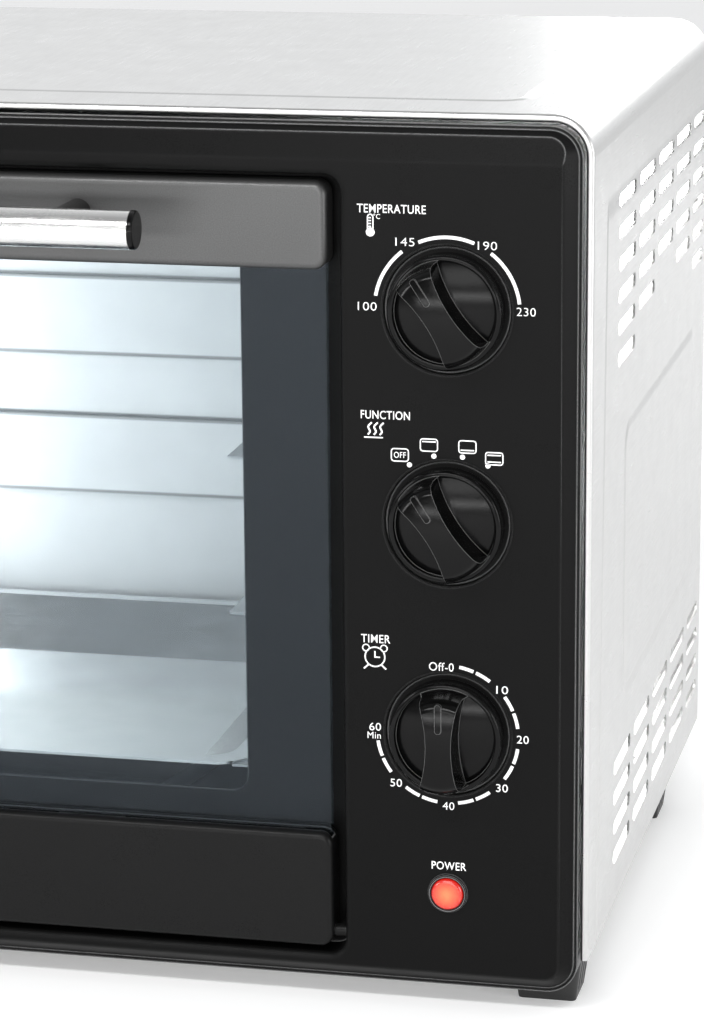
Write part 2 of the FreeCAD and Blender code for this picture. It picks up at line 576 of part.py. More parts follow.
def make_front_frame():
    """One pressed sheet: bevelled rim, control panel with dishes, door recess and cavity mouth."""
    body = body_of("frame_block", y="panel_y")
    rim_x = ("-frame_right", "frame_right")
    rim_z = ("frame_bottom", "frame_top")
    loft_between(body, "frame_bevel", "XZ_Plane", [
        ("0", ("-face_right", "face_right"), ("face_bottom", "tilt_top"),
         "frame_corner - rim_lip - bevel_width"),
        ("-bevel_depth", ("-frame_right + rim_lip", "frame_right - rim_lip"),
         ("frame_bottom + rim_lip", "frame_top - rim_lip"), "frame_corner - rim_lip"),
    ])
    sketch = sketch_on(body, "frame_rim", "XZ_Plane", "-bevel_depth")
    draw_rounded(sketch, rim_x, rim_z, "frame_corner")
    pad = body.newObject("PartDesign::Pad", "frame_rim_pad")
    pad.Profile = sketch
    pad.Reversed = True
    bind(pad, Length="frame_depth - bevel_depth")

    wall = "frame_sheet"
    wide = box("frame_hollow_back", (f"-frame_right + {wall}", f"frame_right - {wall}"),
               ("panel_y + bevel_depth + frame_sheet", "frame_back + past_far"),
               (f"frame_bottom + {wall}", f"frame_top - {wall}"))
    wide = round_edges("frame_hollow_wide", wide, "frame_corner - frame_sheet",
                       lambda edge: abs(edge.tangentAt(edge.FirstParameter).y) > ALONG)
    narrow_x = (f"-face_right + {wall}", f"face_right - {wall}")
    narrow = box("frame_hollow_face", narrow_x,
                 ("panel_y + frame_sheet", "panel_y + bevel_depth + 2 * frame_sheet"),
                 (f"face_bottom + {wall}", "face_top"))
    behind_tilt = box("frame_hollow_tilt", narrow_x,
                      ("panel_y + tilt_depth + frame_sheet", "panel_y + bevel_depth + 2 * frame_sheet"),
                      ("face_top - 1", f"tilt_top - {wall}"))
    hollow = fuse("frame_hollow", [wide, narrow, behind_tilt])
    tilt = tilt_cutter()
    keep = front_plate("frame_recess_block", (f"recess_left - {wall}", f"recess_right + {wall}"),
                       (f"recess_bottom - {wall}", f"recess_top + {wall}"), f"recess_corner + {wall}",
                       "recess_depth + frame_sheet", "panel_y")
    skin = cut("frame_skin", body, [hollow, tilt])
    bosses = [rod(f"{name}_boss", "y", ("dial_x", "panel_y + frame_sheet / 2", z), "dish_r + frame_sheet",
                  "dish_depth + frame_sheet / 2") for name, z in DIALS.items()]
    blank = fuse("frame_blank", [skin, keep] + bosses)

    recess = front_plate("frame_recess", ("recess_left", "recess_right"), ("recess_bottom", "recess_top"),
                         "recess_corner", "recess_depth + past_far",
                         "recess_floor - recess_depth - past_far")
    mouth = front_plate("frame_mouth", ("window_left", "window_right"), ("window_bottom", "window_top"),
                        "recess_corner", "4 * frame_sheet", "recess_floor - frame_sheet")
    tools = [recess, mouth]
    for name, z in DIALS.items():
        tools.append(cone(f"{name}_dish", "y", ("dial_x", "panel_y - 0.001", z), "dish_r",
                          "dish_r - dish_taper",
                          "dish_depth + 0.001"))
        tools.append(rod(f"{name}_shaft_hole", "y", ("dial_x", "panel_y", z), "shaft_r + shaft_hole", 10))
        tools += [rod(f"{name}_screw_hole_{side + 1}", "y",
                      (f"dial_x + {side} * control_screw_out", "panel_y", z),
                      "control_screw_r + screw_fit", 10) for side in (-1, 1)]
    tools.append(rod("lamp_hole", "y", ("dial_x", "panel_y - past", "cover_bottom + lamp_up"),
                     "lamp_neck_r + lamp_fit", 8))
    tools.append(rod("hinge_hole", "x", ("recess_left - 3", "pivot_y", "pivot_z"),
                     "hinge_pin_r + running_fit",
                     "recess_right - recess_left + 6"))
    pressed = cut("frame_pressed", blank, tools)
    face, left, right = value("panel_y"), value("recess_left"), value("recess_right")
    rim = value("face_right")

    def is_dish(edge):
        return lies_at(edge, face) and edge.BoundBox.XLength > value("1.9 * dish_r") and edge.Closed

    def is_lip(edge):
        middle = edge.BoundBox.Center.x
        return lies_at(edge, face) and left - 1 < middle < right + 1 and edge.BoundBox.XMax < right + 1 \
            and edge.BoundBox.XMin > left - 1 and not edge.Closed

    def is_crease(edge):
        inside = abs(edge.BoundBox.XMax) <= rim + 1
        return lies_at(edge, face) and inside and not edge.Closed and not is_lip(edge)

    return round_sets("front_frame", pressed, [("recess_lip", is_lip), ("crease_round", is_crease),
                                               ("dish_lip", is_dish)])


# ---------------------------------------------------------------- door

def make_rail(name, low, high, glass_low, glass_high):
    """Door rail: a channel of folded sheet, closed at both ends, slotted for the glass."""
    plate = front_plate(name + "_block", ("door_left", "door_right"), (low, high), "rail_corner",
                        "rail_depth", "door_front")
    front = value("door_front")
    rounded = round_edges(name + "_round", plate, "rail_round",
                          lambda edge: edge.BoundBox.YMax < front + NEAR)
    channel = box(name + "_channel", ("door_left + rail_end", "door_right - rail_end"),
                  ("door_front + rail_wall", "door_back + past_far"),
                  (f"{low} + rail_wall", f"{high} - rail_wall"))
    slot = box(name + "_slot",
               ("door_left + glass_side - glass_play", "door_right - glass_side + glass_play"),
               ("glass_front - glass_play", "glass_front + glass_thick + glass_play"),
               (f"{glass_low} - glass_play", f"{glass_high} + glass_play"))
    return rounded, [channel, slot]


def make_upper_rail():
    rounded, tools = make_rail("upper_rail_piece", "upper_rail_bottom", "door_top",
                               "upper_rail_bottom - past_far",
                               "upper_rail_bottom + glass_in_rail")
    tools += [rod(f"upper_rail_hole_{side + 1}", "y", (post_x(side), "door_front - past_far", "handle_z"),
                  "handle_screw_r + screw_fit", 12) for side in (-1, 1)]
    return cut("door_upper_rail", rounded, tools)


def make_lower_rail():
    rounded, tools = make_rail("lower_rail_piece", "door_bottom", "lower_rail_top",
                               "lower_rail_top - glass_in_rail", "lower_rail_top + past_far")
    for name, start in (("left", "door_left - past_far"), ("right", "door_right - pin_in_rail")):
        tools.append(rod(f"pin_socket_{name}", "x", (start, "pivot_y", "pivot_z"), "hinge_pin_r",
                         "pin_in_rail + past_far"))
    return cut("door_lower_rail", rounded, tools)


def post_x(side):
    return f"door_middle + {side} * (handle_length / 2 - handle_post_inset)"


def make_handle_bar():
    start = "door_middle - handle_length / 2 + handle_cap"
    length = "handle_length - 2 * handle_cap"
    tube = rod("handle_tube", "x", (start, "handle_y", "handle_z"), "handle_r", length)
    inside = rod("handle_inside", "x", (f"{start} - past_far", "handle_y", "handle_z"),
                 "handle_r - handle_wall",
                 f"{length} + 10")
    return cut("handle_bar", tube, [inside])


def make_handle_cap(name, side):
    """End cap with a chamfered rim and a plug that sits in the tube."""
    outer = f"door_middle + {side} * handle_length / 2"
    inner = f"{outer} - {side} * handle_cap"
    low = outer if side < 0 else inner
    disc = rod(name + "_disc", "x", (low, "handle_y", "handle_z"), "handle_r", "handle_cap")
    plug_low = inner if side < 0 else f"{inner} - handle_plug"
    plug = rod(name + "_plug", "x", (plug_low, "handle_y", "handle_z"), "handle_r - handle_wall",
               "handle_plug")
    return round_edges(name, fuse(name + "_blank", [disc, plug]), "handle_chamfer",
                       lambda edge: abs(edge.CenterOfMass.x - value(outer)) < NEAR)


def make_handle_post(name, side):
    post = rod(name + "_round", "y", (post_x(side), "handle_y", "handle_z"), "handle_post_r",
               "door_front - handle_y")
    saddle = rod(name + "_saddle", "x", (f"{post_x(side)} - 20", "handle_y", "handle_z"), "handle_r", 40)
    bore = rod(name + "_bore", "y", (post_x(side), "handle_y + handle_r + 2 * past", "handle_z"),
               "handle_screw_r + screw_fit / 2", "handle_reach")
    return cut(name, post, [saddle, bore])


def make_handle_screws():
    screws = []
    for side in (-1, 1):
        start = "handle_y + handle_r + 6"
        skin = "door_front + rail_wall"
        shank = rod(f"handle_shank_{side + 1}", "y", (post_x(side), start, "handle_z"), "handle_screw_r",
                    f"{skin} - ({start})")
        head = rod(f"handle_head_{side + 1}", "y", (post_x(side), skin, "handle_z"), "handle_head_r",
                   "handle_head")
        screws.append(fuse(f"handle_screw_{side + 1}", [shank, head]))
    return group("handle_screws", screws)


def make_glass():
    return box("door_glass", ("door_left + glass_side", "door_right - glass_side"),
               ("glass_front", "glass_front + glass_thick"),
               ("lower_rail_top - glass_in_rail", "upper_rail_bottom + glass_in_rail"))


def make_glass_clips():
    """Spring clips inside the rails that press the glass forward."""
    clips = []
    back = "glass_front + glass_thick + glass_play"
    for row, (low, high) in enumerate((("lower_rail_top - rail_wall - clip_height",
                                        "lower_rail_top - rail_wall"),
                                       ("upper_rail_bottom + rail_wall",
                                        "upper_rail_bottom + rail_wall + clip_height"))):
        for side in (-1, 1):
            middle = f"door_middle + {side} * (door_right - door_left) / 4"
            clips.append(box(f"clip_{row}_{side + 1}",
                             (f"{middle} - clip_width / 2", f"{middle} + clip_width / 2"),
                             (back, f"{back} + clip_thick"), (low, high)))
    return group("glass_clips", clips)


def make_hinge_pins():
    inner = {"left": "door_left + pin_in_rail", "right": "door_right - pin_in_rail"}
    outer = {"left": "recess_left - frame_sheet - bracket_thick - 1",
             "right": "recess_right + frame_sheet + bracket_thick + spring_pitch * (spring_turns + 2)"}
    for name in ("left", "right"):
        low, high = sorted((inner[name], outer[name]), key=value)
        pin = rod("pin_" + name, "x", (low, "pivot_y", "pivot_z"), "hinge_pin_r", f"({high}) - ({low})")
        node("hinge_pin_" + name, pin)


def make_hinge_brackets():
    """Plates behind the recess walls in which the hinge pins turn."""
    spans = {"left": ("recess_left - frame_sheet - bracket_thick", "recess_left - frame_sheet"),
             "right": ("recess_right + frame_sheet", "recess_right + frame_sheet + bracket_thick")}
    for name, span in spans.items():
        plate = box("bracket_plate_" + name, span, ("panel_y + frame_sheet", "recess_floor"),
                    ("recess_bottom - frame_sheet", "recess_bottom - frame_sheet + bracket_height"))
        bore = rod("bracket_bore_" + name, "x", (f"{span[0]} - 3", "pivot_y", "pivot_z"),
                   "hinge_pin_r + running_fit", 12)
        node("hinge_bracket_" + name, cut("bracket_" + name, plate, [bore]))


def make_door_spring():
    """Torsion spring wound round the right hinge pin, with one straight arm against the frame."""
    start = "recess_right + frame_sheet + bracket_thick + spring_wire"
    ring = "hinge_pin_r + spring_play + spring_wire / 2"
    coil = doc.addObject("Part::Helix", "spring_coil")
    bind(coil, Pitch="spring_pitch", Height="spring_pitch * spring_turns", Radius=ring)
    section = doc.addObject("Part::Circle", "spring_section")
    bind(section, Radius="spring_wire / 2")
    section.Placement.Rotation = Rotation(Vector(1, 0, 0), 90)
    section.setExpression("Placement.Base.x", full(ring))
    wound = doc.addObject("Part::Sweep", "spring_wound")
    wound.Sections = [section]
    wound.Spine = (coil, ["Edge1"])
    wound.Solid = True
    wound.Frenet = True
    place(wound, start, "pivot_y", "pivot_z", axis="x")
    return wound


# ---------------------------------------------------------------- cavity

def liner_hole(name, x, y, z):
    return rod(name, "x", (f"{x} - past_far", y, z), "heater_r + heater_hole", 10)


HEATERS = {
    "heater_lower_front": ("recess_back + heater_inset", "cover_bottom + lower_heater"),
    "heater_lower_rear": ("cavity_back - heater_inset", "cover_bottom + lower_heater"),
    "heater_upper_front": ("recess_back + heater_inset", "cavity_top - upper_heater"),
    "heater_upper_rear": ("cavity_back - heater_inset", "cavity_top - upper_heater"),
}


def make_liners():
    depth = ("recess_back", "cavity_back")
    height = ("cavity_bottom", "cavity_top")
    sheet = "liner_sheet"
    sides = {"left": (f"cavity_left - {sheet}", "cavity_left"),
             "right": ("cavity_right", f"cavity_right + {sheet}")}
    for name, span in sides.items():
        plate = box("liner_sheet_" + name, span, depth, height)
        holes = [liner_hole(f"{heater}_hole_{name}", span[0], y, z) for heater, (y, z) in HEATERS.items()]
        node("cavity_side_" + name, cut("cavity_side_" + name, plate, holes))
    across = (f"cavity_left - {sheet}", f"cavity_right + {sheet}")
    node("cavity_floor_plate",
         box("cavity_floor_plate", across, depth, (f"cavity_bottom - {sheet}", "cavity_bottom")))
    node("cavity_roof", box("cavity_roof", across, depth, ("cavity_top", f"cavity_top + {sheet}")))
    node("cavity_back_wall", make_back_wall(across))


def make_back_wall(across):
    """Back sheet with two wide bands pressed forward to stiffen it."""
    wall = box("back_sheet", across, ("cavity_back", "cavity_back + liner_sheet"),
               ("cavity_bottom - liner_sheet", "cavity_top + liner_sheet"))
    raised = [wall]
    hollows = []
    for name, low in (("low", "cover_bottom + band_low"), ("high", "cover_bottom + band_high")):
        high = f"{low} + band_height"
        raised.append(box(f"band_{name}", ("cavity_left + band_inset", "cavity_right - band_inset"),
                          ("cavity_back - band_depth", "cavity_back"), (low, high)))
        hollows.append(box(f"band_hollow_{name}",
                           ("cavity_left + band_inset + liner_sheet",
                            "cavity_right - band_inset - liner_sheet"),
                           ("cavity_back - band_depth + liner_sheet", "cavity_back + past_far"),
                           (f"{low} + liner_sheet", f"{high} - liner_sheet")))
    return cut("back_wall", fuse("back_raised", raised), hollows)


def make_shelf_rails(name):
    """Three angle rails on one side wall; the tray or a rack hangs on them by its rim."""
    rails = []
    near = "cavity_left" if name == "left" else "cavity_right"
    inward = 1 if name == "left" else -1
    span = ("recess_back + rail_clear", "cavity_back - band_depth - rail_clear")
    for level in range(3):
        top = f"shelf_z + {level} * rail_step"
        shelf = sorted((near, f"{near} + {inward} * rail_reach"), key=value)
        lip = sorted((near, f"{near} + {inward} * liner_sheet"), key=value)
        parts = [box(f"shelf_{name}_{level}", shelf, span, (f"{top} - liner_sheet", top)),
                 box(f"shelf_lip_{name}_{level}", lip, span, (f"{top} - rail_lip", top))]
        rails.append(fuse(f"shelf_rail_{name}_{level}", parts))
    return group("shelf_rails_" + name, rails)


def make_heaters():
    stub = "liner_sheet + insulator_length + heater_stub"
    insulators = []
    for name, (y, z) in HEATERS.items():
        tube = rod(name + "_tube", "x", (f"cavity_left - ({stub})", y, z), "heater_r",
                   f"cavity_right - cavity_left + 2 * ({stub})")
        wire = rod(name + "_wire", "x", (f"cavity_left - ({stub}) - terminal_length", y, z), "terminal_r",
                   f"cavity_right - cavity_left + 2 * ({stub} + terminal_length)")
        node(name, fuse(name, [tube, wire]))
        for side, start in (("left", "cavity_left - liner_sheet - insulator_length"),
                            ("right", "cavity_right + liner_sheet")):
            ring = rod(f"{name}_ring_{side}", "x", (start, y, z), "insulator_r", "insulator_length")
            bore = rod(f"{name}_bore_{side}", "x", (f"{start} - past", y, z), "heater_r",
                       "insulator_length + 2 * past")
            insulators.append(cut(f"{name}_insulator_{side}", ring, [bore]))
    node("heater_insulators", group("heater_insulators", insulators))


def make_tray():
    """Pressed tray: rolled rim all round, walls that slope in to a flat floor."""
    body = body_of("tray_block", "door_middle", "tray_middle_y", "shelf_z + tray_sheet - tray_height")
    half_long = "tray_length / 2"
    top_x, top_y = "tray_half - tray_rim", f"{half_long} - tray_rim"
    loft_between(body, "tray_outside", "XY_Plane", [
        ("0", (f"-({top_x} - tray_slope)", f"{top_x} - tray_slope"),
         (f"-({top_y} - tray_slope_ends)", f"{top_y} - tray_slope_ends"), "tray_corner"),
        ("tray_height - tray_sheet", (f"-({top_x})", top_x), (f"-({top_y})", top_y), "tray_corner"),
    ])
    sketch = sketch_on(body, "tray_rim_outline", "XY_Plane", "tray_height - tray_sheet")
    draw_rounded(sketch, ("-tray_half", "tray_half"), (f"-{half_long}", half_long), "tray_corner")
    rim = body.newObject("PartDesign::Pad", "tray_rim_pad")
    rim.Profile = sketch
    bind(rim, Length="tray_sheet")
    inner = body_of("tray_inside_block", "door_middle", "tray_middle_y",
                    "shelf_z + tray_sheet - tray_height")
    loft_between(inner, "tray_inside", "XY_Plane", [
        ("tray_sheet", (f"-({top_x} - tray_slope - tray_sheet)", f"{top_x} - tray_slope - tray_sheet"),
         (f"-({top_y} - tray_slope_ends - tray_sheet)", f"{top_y} - tray_slope_ends - tray_sheet"),
         "tray_corner - tray_sheet"),
        ("tray_height + tray_sheet", (f"-({top_x} - tray_sheet / 2)", f"{top_x} - tray_sheet / 2"),
         (f"-({top_y} - tray_sheet / 2)", f"{top_y} - tray_sheet / 2"), "tray_corner - tray_sheet"),
    ])
    return cut("baking_tray", body, [inner])


# ---------------------------------------------------------------- controls

def make_knob(name, z, rest_angle):
    """Round knob with two finger scoops that leave a waisted grip, and a pointer rib at its end."""
    brim_y = "knob_back - knob_base - brim_rise"
    base = rod(name + "_base", "y", ("dial_x", brim_y, z), "knob_r", "knob_base + brim_rise")
    well = rod(name + "_well", "y", ("dial_x", f"{brim_y} - 1", z), "brim_inner_r", "brim_rise + 1")
    base = cut(name + "_brim", base, [well])
    cap = cone(name + "_cap", "y", ("dial_x", "knob_front", z), "knob_top_r", "knob_cap_r",
               "knob_height - knob_base")
    front = value("knob_front")
    cap = round_edges(name + "_cap_round", cap, "knob_round",
                      lambda edge: edge.BoundBox.YMax < front + NEAR)
    brim = value(brim_y)
    base = round_edges(name + "_base_round", base, "brim_round",
                       lambda edge: edge.BoundBox.YMax < brim + NEAR)
    scoops = []
    for side in (-1, 1):
        scoops.append(scoop(f"{name}_scoop_{side + 1}", z, rest_angle, side))
    grip = cut(name + "_grip", cap, scoops)
    pointer = body_of(name + "_pointer_body", "dial_x", "knob_front - pointer_rise", z)
    hollow = rod(name + "_hollow", "y", ("dial_x", "knob_back - knob_hollow", z), "knob_hollow_r",
                 "knob_hollow + past")
    hub = rod(name + "_hub", "y", ("dial_x", "knob_back - knob_hollow - 1", z), "knob_hub_r",
              "knob_hollow + 1")
    ring = cut(name + "_ring", hollow, [hub])
    bore = rod(name + "_bore", "y", ("dial_x", "knob_back - shaft_in_knob", z), "shaft_r",
               "shaft_in_knob + past")
    sketch = sketch_on(pointer, name + "_pointer_outline", "XZ_Plane")
    draw_rounded(sketch, ("-pointer_width / 2", "pointer_width / 2"),
                 ("knob_top_r - pointer_length - 1", "knob_top_r - 1"), "pointer_width / 2.2")
    rib = pointer.newObject("PartDesign::Pad", name + "_pointer_rib")
    rib.Profile = sketch
    rib.Reversed = True
    bind(rib, Length="knob_height / 2")
    pointer.Placement.Rotation = Rotation(Vector(0, 1, 0), rest_angle)
    blank = fuse(name + "_blank", [base, grip, pointer])
    return cut(name, blank, [ring, bore])


def scoop(name, z, rest_angle, side):
    """A finger scoop: what lies outside a large arc beside the grip, down to the scoop's floor."""
    body = body_of(name, "dial_x", "knob_front - knob_height", z)
    sketch = sketch_on(body, name + "_outline", "XZ_Plane")
    waist, end, reach = value("grip_waist / 2"), value("grip_end / 2"), value("grip_reach")
    rise = end - waist
    bend = (reach ** 2 + rise ** 2) / (2 * rise)
    centre = waist + bend
    spread = math.asin(reach / bend)
    far = value("2 * knob_r")
    circle = Part.Circle(Vector(side * centre, 0, 0), Vector(0, 0, 1), bend)
    middle = math.pi if side > 0 else 0.0
    sketch.addGeometry(Part.ArcOfCircle(circle, middle - spread, middle + spread))
    corners = [(side * far, reach), (side * far, -reach)]
    sketch.addGeometry(Part.LineSegment(Vector(side * end, reach, 0), Vector(*corners[0], 0)))
    sketch.addGeometry(Part.LineSegment(Vector(*corners[0], 0), Vector(*corners[1], 0)))
    sketch.addGeometry(Part.LineSegment(Vector(*corners[1], 0), Vector(side * end, -reach, 0)))
    upper, lower = (1, 2) if side > 0 else (2, 1)
    for joint in ((0, upper, 1, 1), (1, 2, 2, 1), (2, 2, 3, 1), (3, 2, 0, lower)):
        sketch.addConstraint(Sketcher.Constraint("Coincident", *joint))
    sketch.addConstraint(Sketcher.Constraint("Horizontal", 1))
    sketch.addConstraint(Sketcher.Constraint("Vertical", 2))
    sketch.addConstraint(Sketcher.Constraint("Horizontal", 3))
    sketch.addConstraint(Sketcher.Constraint("PointOnObject", 0, 3, -1))
    sign = "" if side > 0 else "-"
    hold(sketch, "DistanceX", -1, 1, f"{sign}grip_end / 2", 1, 1)
    hold(sketch, "DistanceY", -1, 1, "grip_reach", 1, 1)
    hold(sketch, "DistanceX", -1, 1, f"{sign}2 * knob_r", 2, 1)
    radius = "(grip_reach ^ 2 + (grip_end / 2 - grip_waist / 2) ^ 2) / (grip_end - grip_waist)"
    index = sketch.addConstraint(Sketcher.Constraint("Radius", 0, bend))
    sketch.setExpression(f"Constraints[{index}]", full(radius))
    pad = body.newObject("PartDesign::Pad", name + "_pad")
    pad.Profile = sketch
    pad.Reversed = True
    bind(pad, Length="2 * knob_height - grip_floor")
    body.Placement.Rotation = Rotation(Vector(0, 1, 0), rest_angle)
    return body


def make_controls():
    """Each dial has a knob, its shaft, and the device that the shaft turns behind the panel."""
    rest_angles = {"temperature": -33, "function": -33, "timer": 0}
    devices = {"temperature": "thermostat", "function": "function_switch", "timer": "timer_clockwork"}
    screws = []
    for name, z in DIALS.items():
        node(name + "_knob", make_knob(name, z, rest_angles[name]))
        start = "knob_back - shaft_in_knob"
        node(name + "_shaft", rod(name + "_shaft", "y", ("dial_x", start, z), "shaft_r",
                                  f"panel_back + shaft_in_body - ({start})"))
        half, depth = ("timer_size / 2", "timer_depth") if name == "timer" else ("switch_size / 2",
                                                                                 "switch_depth")
        case = box(name + "_case", (f"dial_x - {half}", f"dial_x + {half}"),
                   ("panel_back", f"panel_back + {depth}"),
                   (f"{z} - {half}", f"{z} + {half}"))
        case = round_edges(name + "_case_round", case, "3",
                           lambda edge: abs(edge.tangentAt(edge.FirstParameter).y) > ALONG)
        tools = [rod(name + "_bearing", "y", ("dial_x", "panel_back - past", z), "shaft_r + running_fit",
                     "shaft_in_body + 3")]
        for side in (-1, 1):
            x = f"dial_x + {side} * control_screw_out"
            tools.append(rod(f"{name}_tapped_{side + 1}", "y", (x, "panel_back - past", z),
                             "control_screw_r + screw_fit", 10))
            shank = rod(f"{name}_screw_shank_{side + 1}", "y", (x, "dish_floor", z), "control_screw_r", 7)
            head = rod(f"{name}_screw_head_{side + 1}", "y", (x, "dish_floor - 1.5", z),
                       "control_screw_r * 1.7", 1.5)
            screws.append(fuse(f"{name}_control_screw_{side + 1}", [shank, head]))
        node(devices[name], cut(name + "_device", case, tools))
    node("control_screws", group("control_screws", screws))
    bell_y = "panel_back + timer_depth"
    z = DIALS["timer"]
    bell = cone("bell_dome", "y", ("dial_x", f"{bell_y} + 3", z), "bell_r", "bell_r * 0.7",
                "bell_height - 3")
    stem = rod("bell_stem", "y", ("dial_x", bell_y, z), "bell_r * 0.25", "4")
    node("timer_bell", fuse("timer_bell", [bell, stem]))


def make_lamp():
    z = "cover_bottom + lamp_up"
    lens = rod("lens_cap", "y", ("dial_x", "panel_y - lamp_proud", z), "lamp_r", "lamp_proud")
    front = value("panel_y - lamp_proud")
    lens = round_edges("lens_round", lens, "lamp_proud * 0.6",
                       lambda edge: edge.BoundBox.YMax < front + NEAR)
    neck = rod("lens_neck", "y", ("dial_x", "panel_y", z), "lamp_neck_r", "lamp_length")
    node("lamp_lens", fuse("lamp_lens", [lens, neck]))
    collar = rod("lamp_collar", "y", ("dial_x", "panel_y + frame_sheet", z),
                 "lamp_neck_r + lamp_holder_wall",
                 "lamp_length")
    bore = rod("lamp_collar_bore", "y", ("dial_x", "panel_y", z), "lamp_neck_r + lamp_fit",
               "lamp_length * 1.2")
    node("lamp_holder", cut("lamp_holder", collar, [bore]))


def make_inlet():
    """Bush in the rear panel for the supply cord, and the terminal block behind it."""
    x, z = "half_width - gland_in", "cover_bottom + gland_up"
    outside = "rear_panel_y + cover_sheet"
    flange = rod("gland_flange_disc", "y", (x, outside, z), "gland_r", "gland_flange")
    neck = rod("gland_neck", "y", (x, f"{outside} - cover_sheet - 8", z), "gland_neck_r", "cover_sheet + 8")
    bore = rod("gland_bore", "y", (x, f"{outside} - 20", z), "gland_bore_r", 40)
    node("cord_gland", cut("cord_gland", fuse("gland_blank", [flange, neck]), [bore]))
    floor = "cover_bottom + cover_sheet"
    y = "rear_panel_y - block_ahead"
    block = box("block_body", (f"{x} - block_length / 2", f"{x} + block_length / 2"),
                (y, f"{y} + block_depth"),
                (floor, f"{floor} + block_height"))
    holes = []
    for index in range(3):
        middle = f"{x} + ({index - 1}) * block_length / 3"
        holes.append(rod(f"block_way_{index}", "y",
                         (middle, f"{y} - past", f"{floor} + block_height * 0.35"), "block_way_r",
                         "block_depth + 2 * past"))
        holes.append(rod(f"block_screw_{index}", "z", (middle, f"{y} + block_depth / 2",
                                                       f"{floor} + block_height * 0.7"), "block_way_r",
                         "block_height"))
    node("terminal_block", cut("terminal_block", block, holes))


# ---------------------------------------------------------------- assembly

def build():
    node("outer_cover", make_cover())
    node("rear_panel", make_rear_panel())
    node("rear_screws", make_rear_screws())
    node("base_plate", make_base())
    for name, (x, y) in FEET.items():
        node(name, make_foot(name, x, y))
    node("foot_screws", make_foot_screws())
    node("front_frame", make_front_frame())
    node("door_upper_rail", make_upper_rail())
    node("door_lower_rail", make_lower_rail())
    node("door_glass", make_glass())
    node("glass_clips", make_glass_clips())
    node("handle_bar", make_handle_bar())
    for name, side in (("left", -1), ("right", 1)):
        node("handle_cap_" + name, make_handle_cap("handle_cap_" + name, side))
        node("handle_post_" + name, make_handle_post("handle_post_" + name, side))
    node("handle_screws", make_handle_screws())
    make_hinge_pins()
    make_hinge_brackets()
    node("door_spring", make_door_spring())
    make_liners()
    for name in ("left", "right"):
        node("shelf_rails_" + name, make_shelf_rails(name))
    make_heaters()
    node("baking_tray", make_tray())
    make_controls()
    make_lamp()
    make_inlet()


def check_and_write():
    doc.recompute()
    for thing in doc.Objects:
        if "Invalid" in thing.State or "Error" in thing.State:
            raise RuntimeError(f"{thing.Name} did not build: {thing.State}")
    for thing in NODES:
        if thing.Shape.isNull() or not thing.Shape.isValid():
            raise RuntimeError(f"{thing.Label} has no valid shape")
    os.makedirs("parts", exist_ok=True)
    for thing in NODES:
        thing.Shape.exportStep(f"parts/{thing.Label}.step")
        print(f"{thing.Label}: {len(thing.Shape.Solids)} solid(s), {thing.Shape.Volume:.0f} mm3")


build()
check_and_write()
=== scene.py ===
import math

import bmesh
import bpy
from mathutils import Matrix, Vector


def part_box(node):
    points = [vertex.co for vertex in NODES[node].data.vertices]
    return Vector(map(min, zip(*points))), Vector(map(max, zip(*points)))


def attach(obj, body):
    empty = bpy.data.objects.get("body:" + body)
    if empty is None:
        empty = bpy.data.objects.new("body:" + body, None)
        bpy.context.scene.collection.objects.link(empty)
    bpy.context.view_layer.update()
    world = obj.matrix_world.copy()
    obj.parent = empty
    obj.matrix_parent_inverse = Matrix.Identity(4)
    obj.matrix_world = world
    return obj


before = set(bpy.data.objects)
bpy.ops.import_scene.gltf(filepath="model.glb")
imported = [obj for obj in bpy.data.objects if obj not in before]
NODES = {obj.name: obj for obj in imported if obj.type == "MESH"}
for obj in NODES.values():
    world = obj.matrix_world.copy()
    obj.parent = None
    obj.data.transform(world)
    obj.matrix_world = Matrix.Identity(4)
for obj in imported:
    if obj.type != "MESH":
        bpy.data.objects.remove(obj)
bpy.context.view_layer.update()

MM = 0.001


# ---------------------------------------------------------------- shader nodes

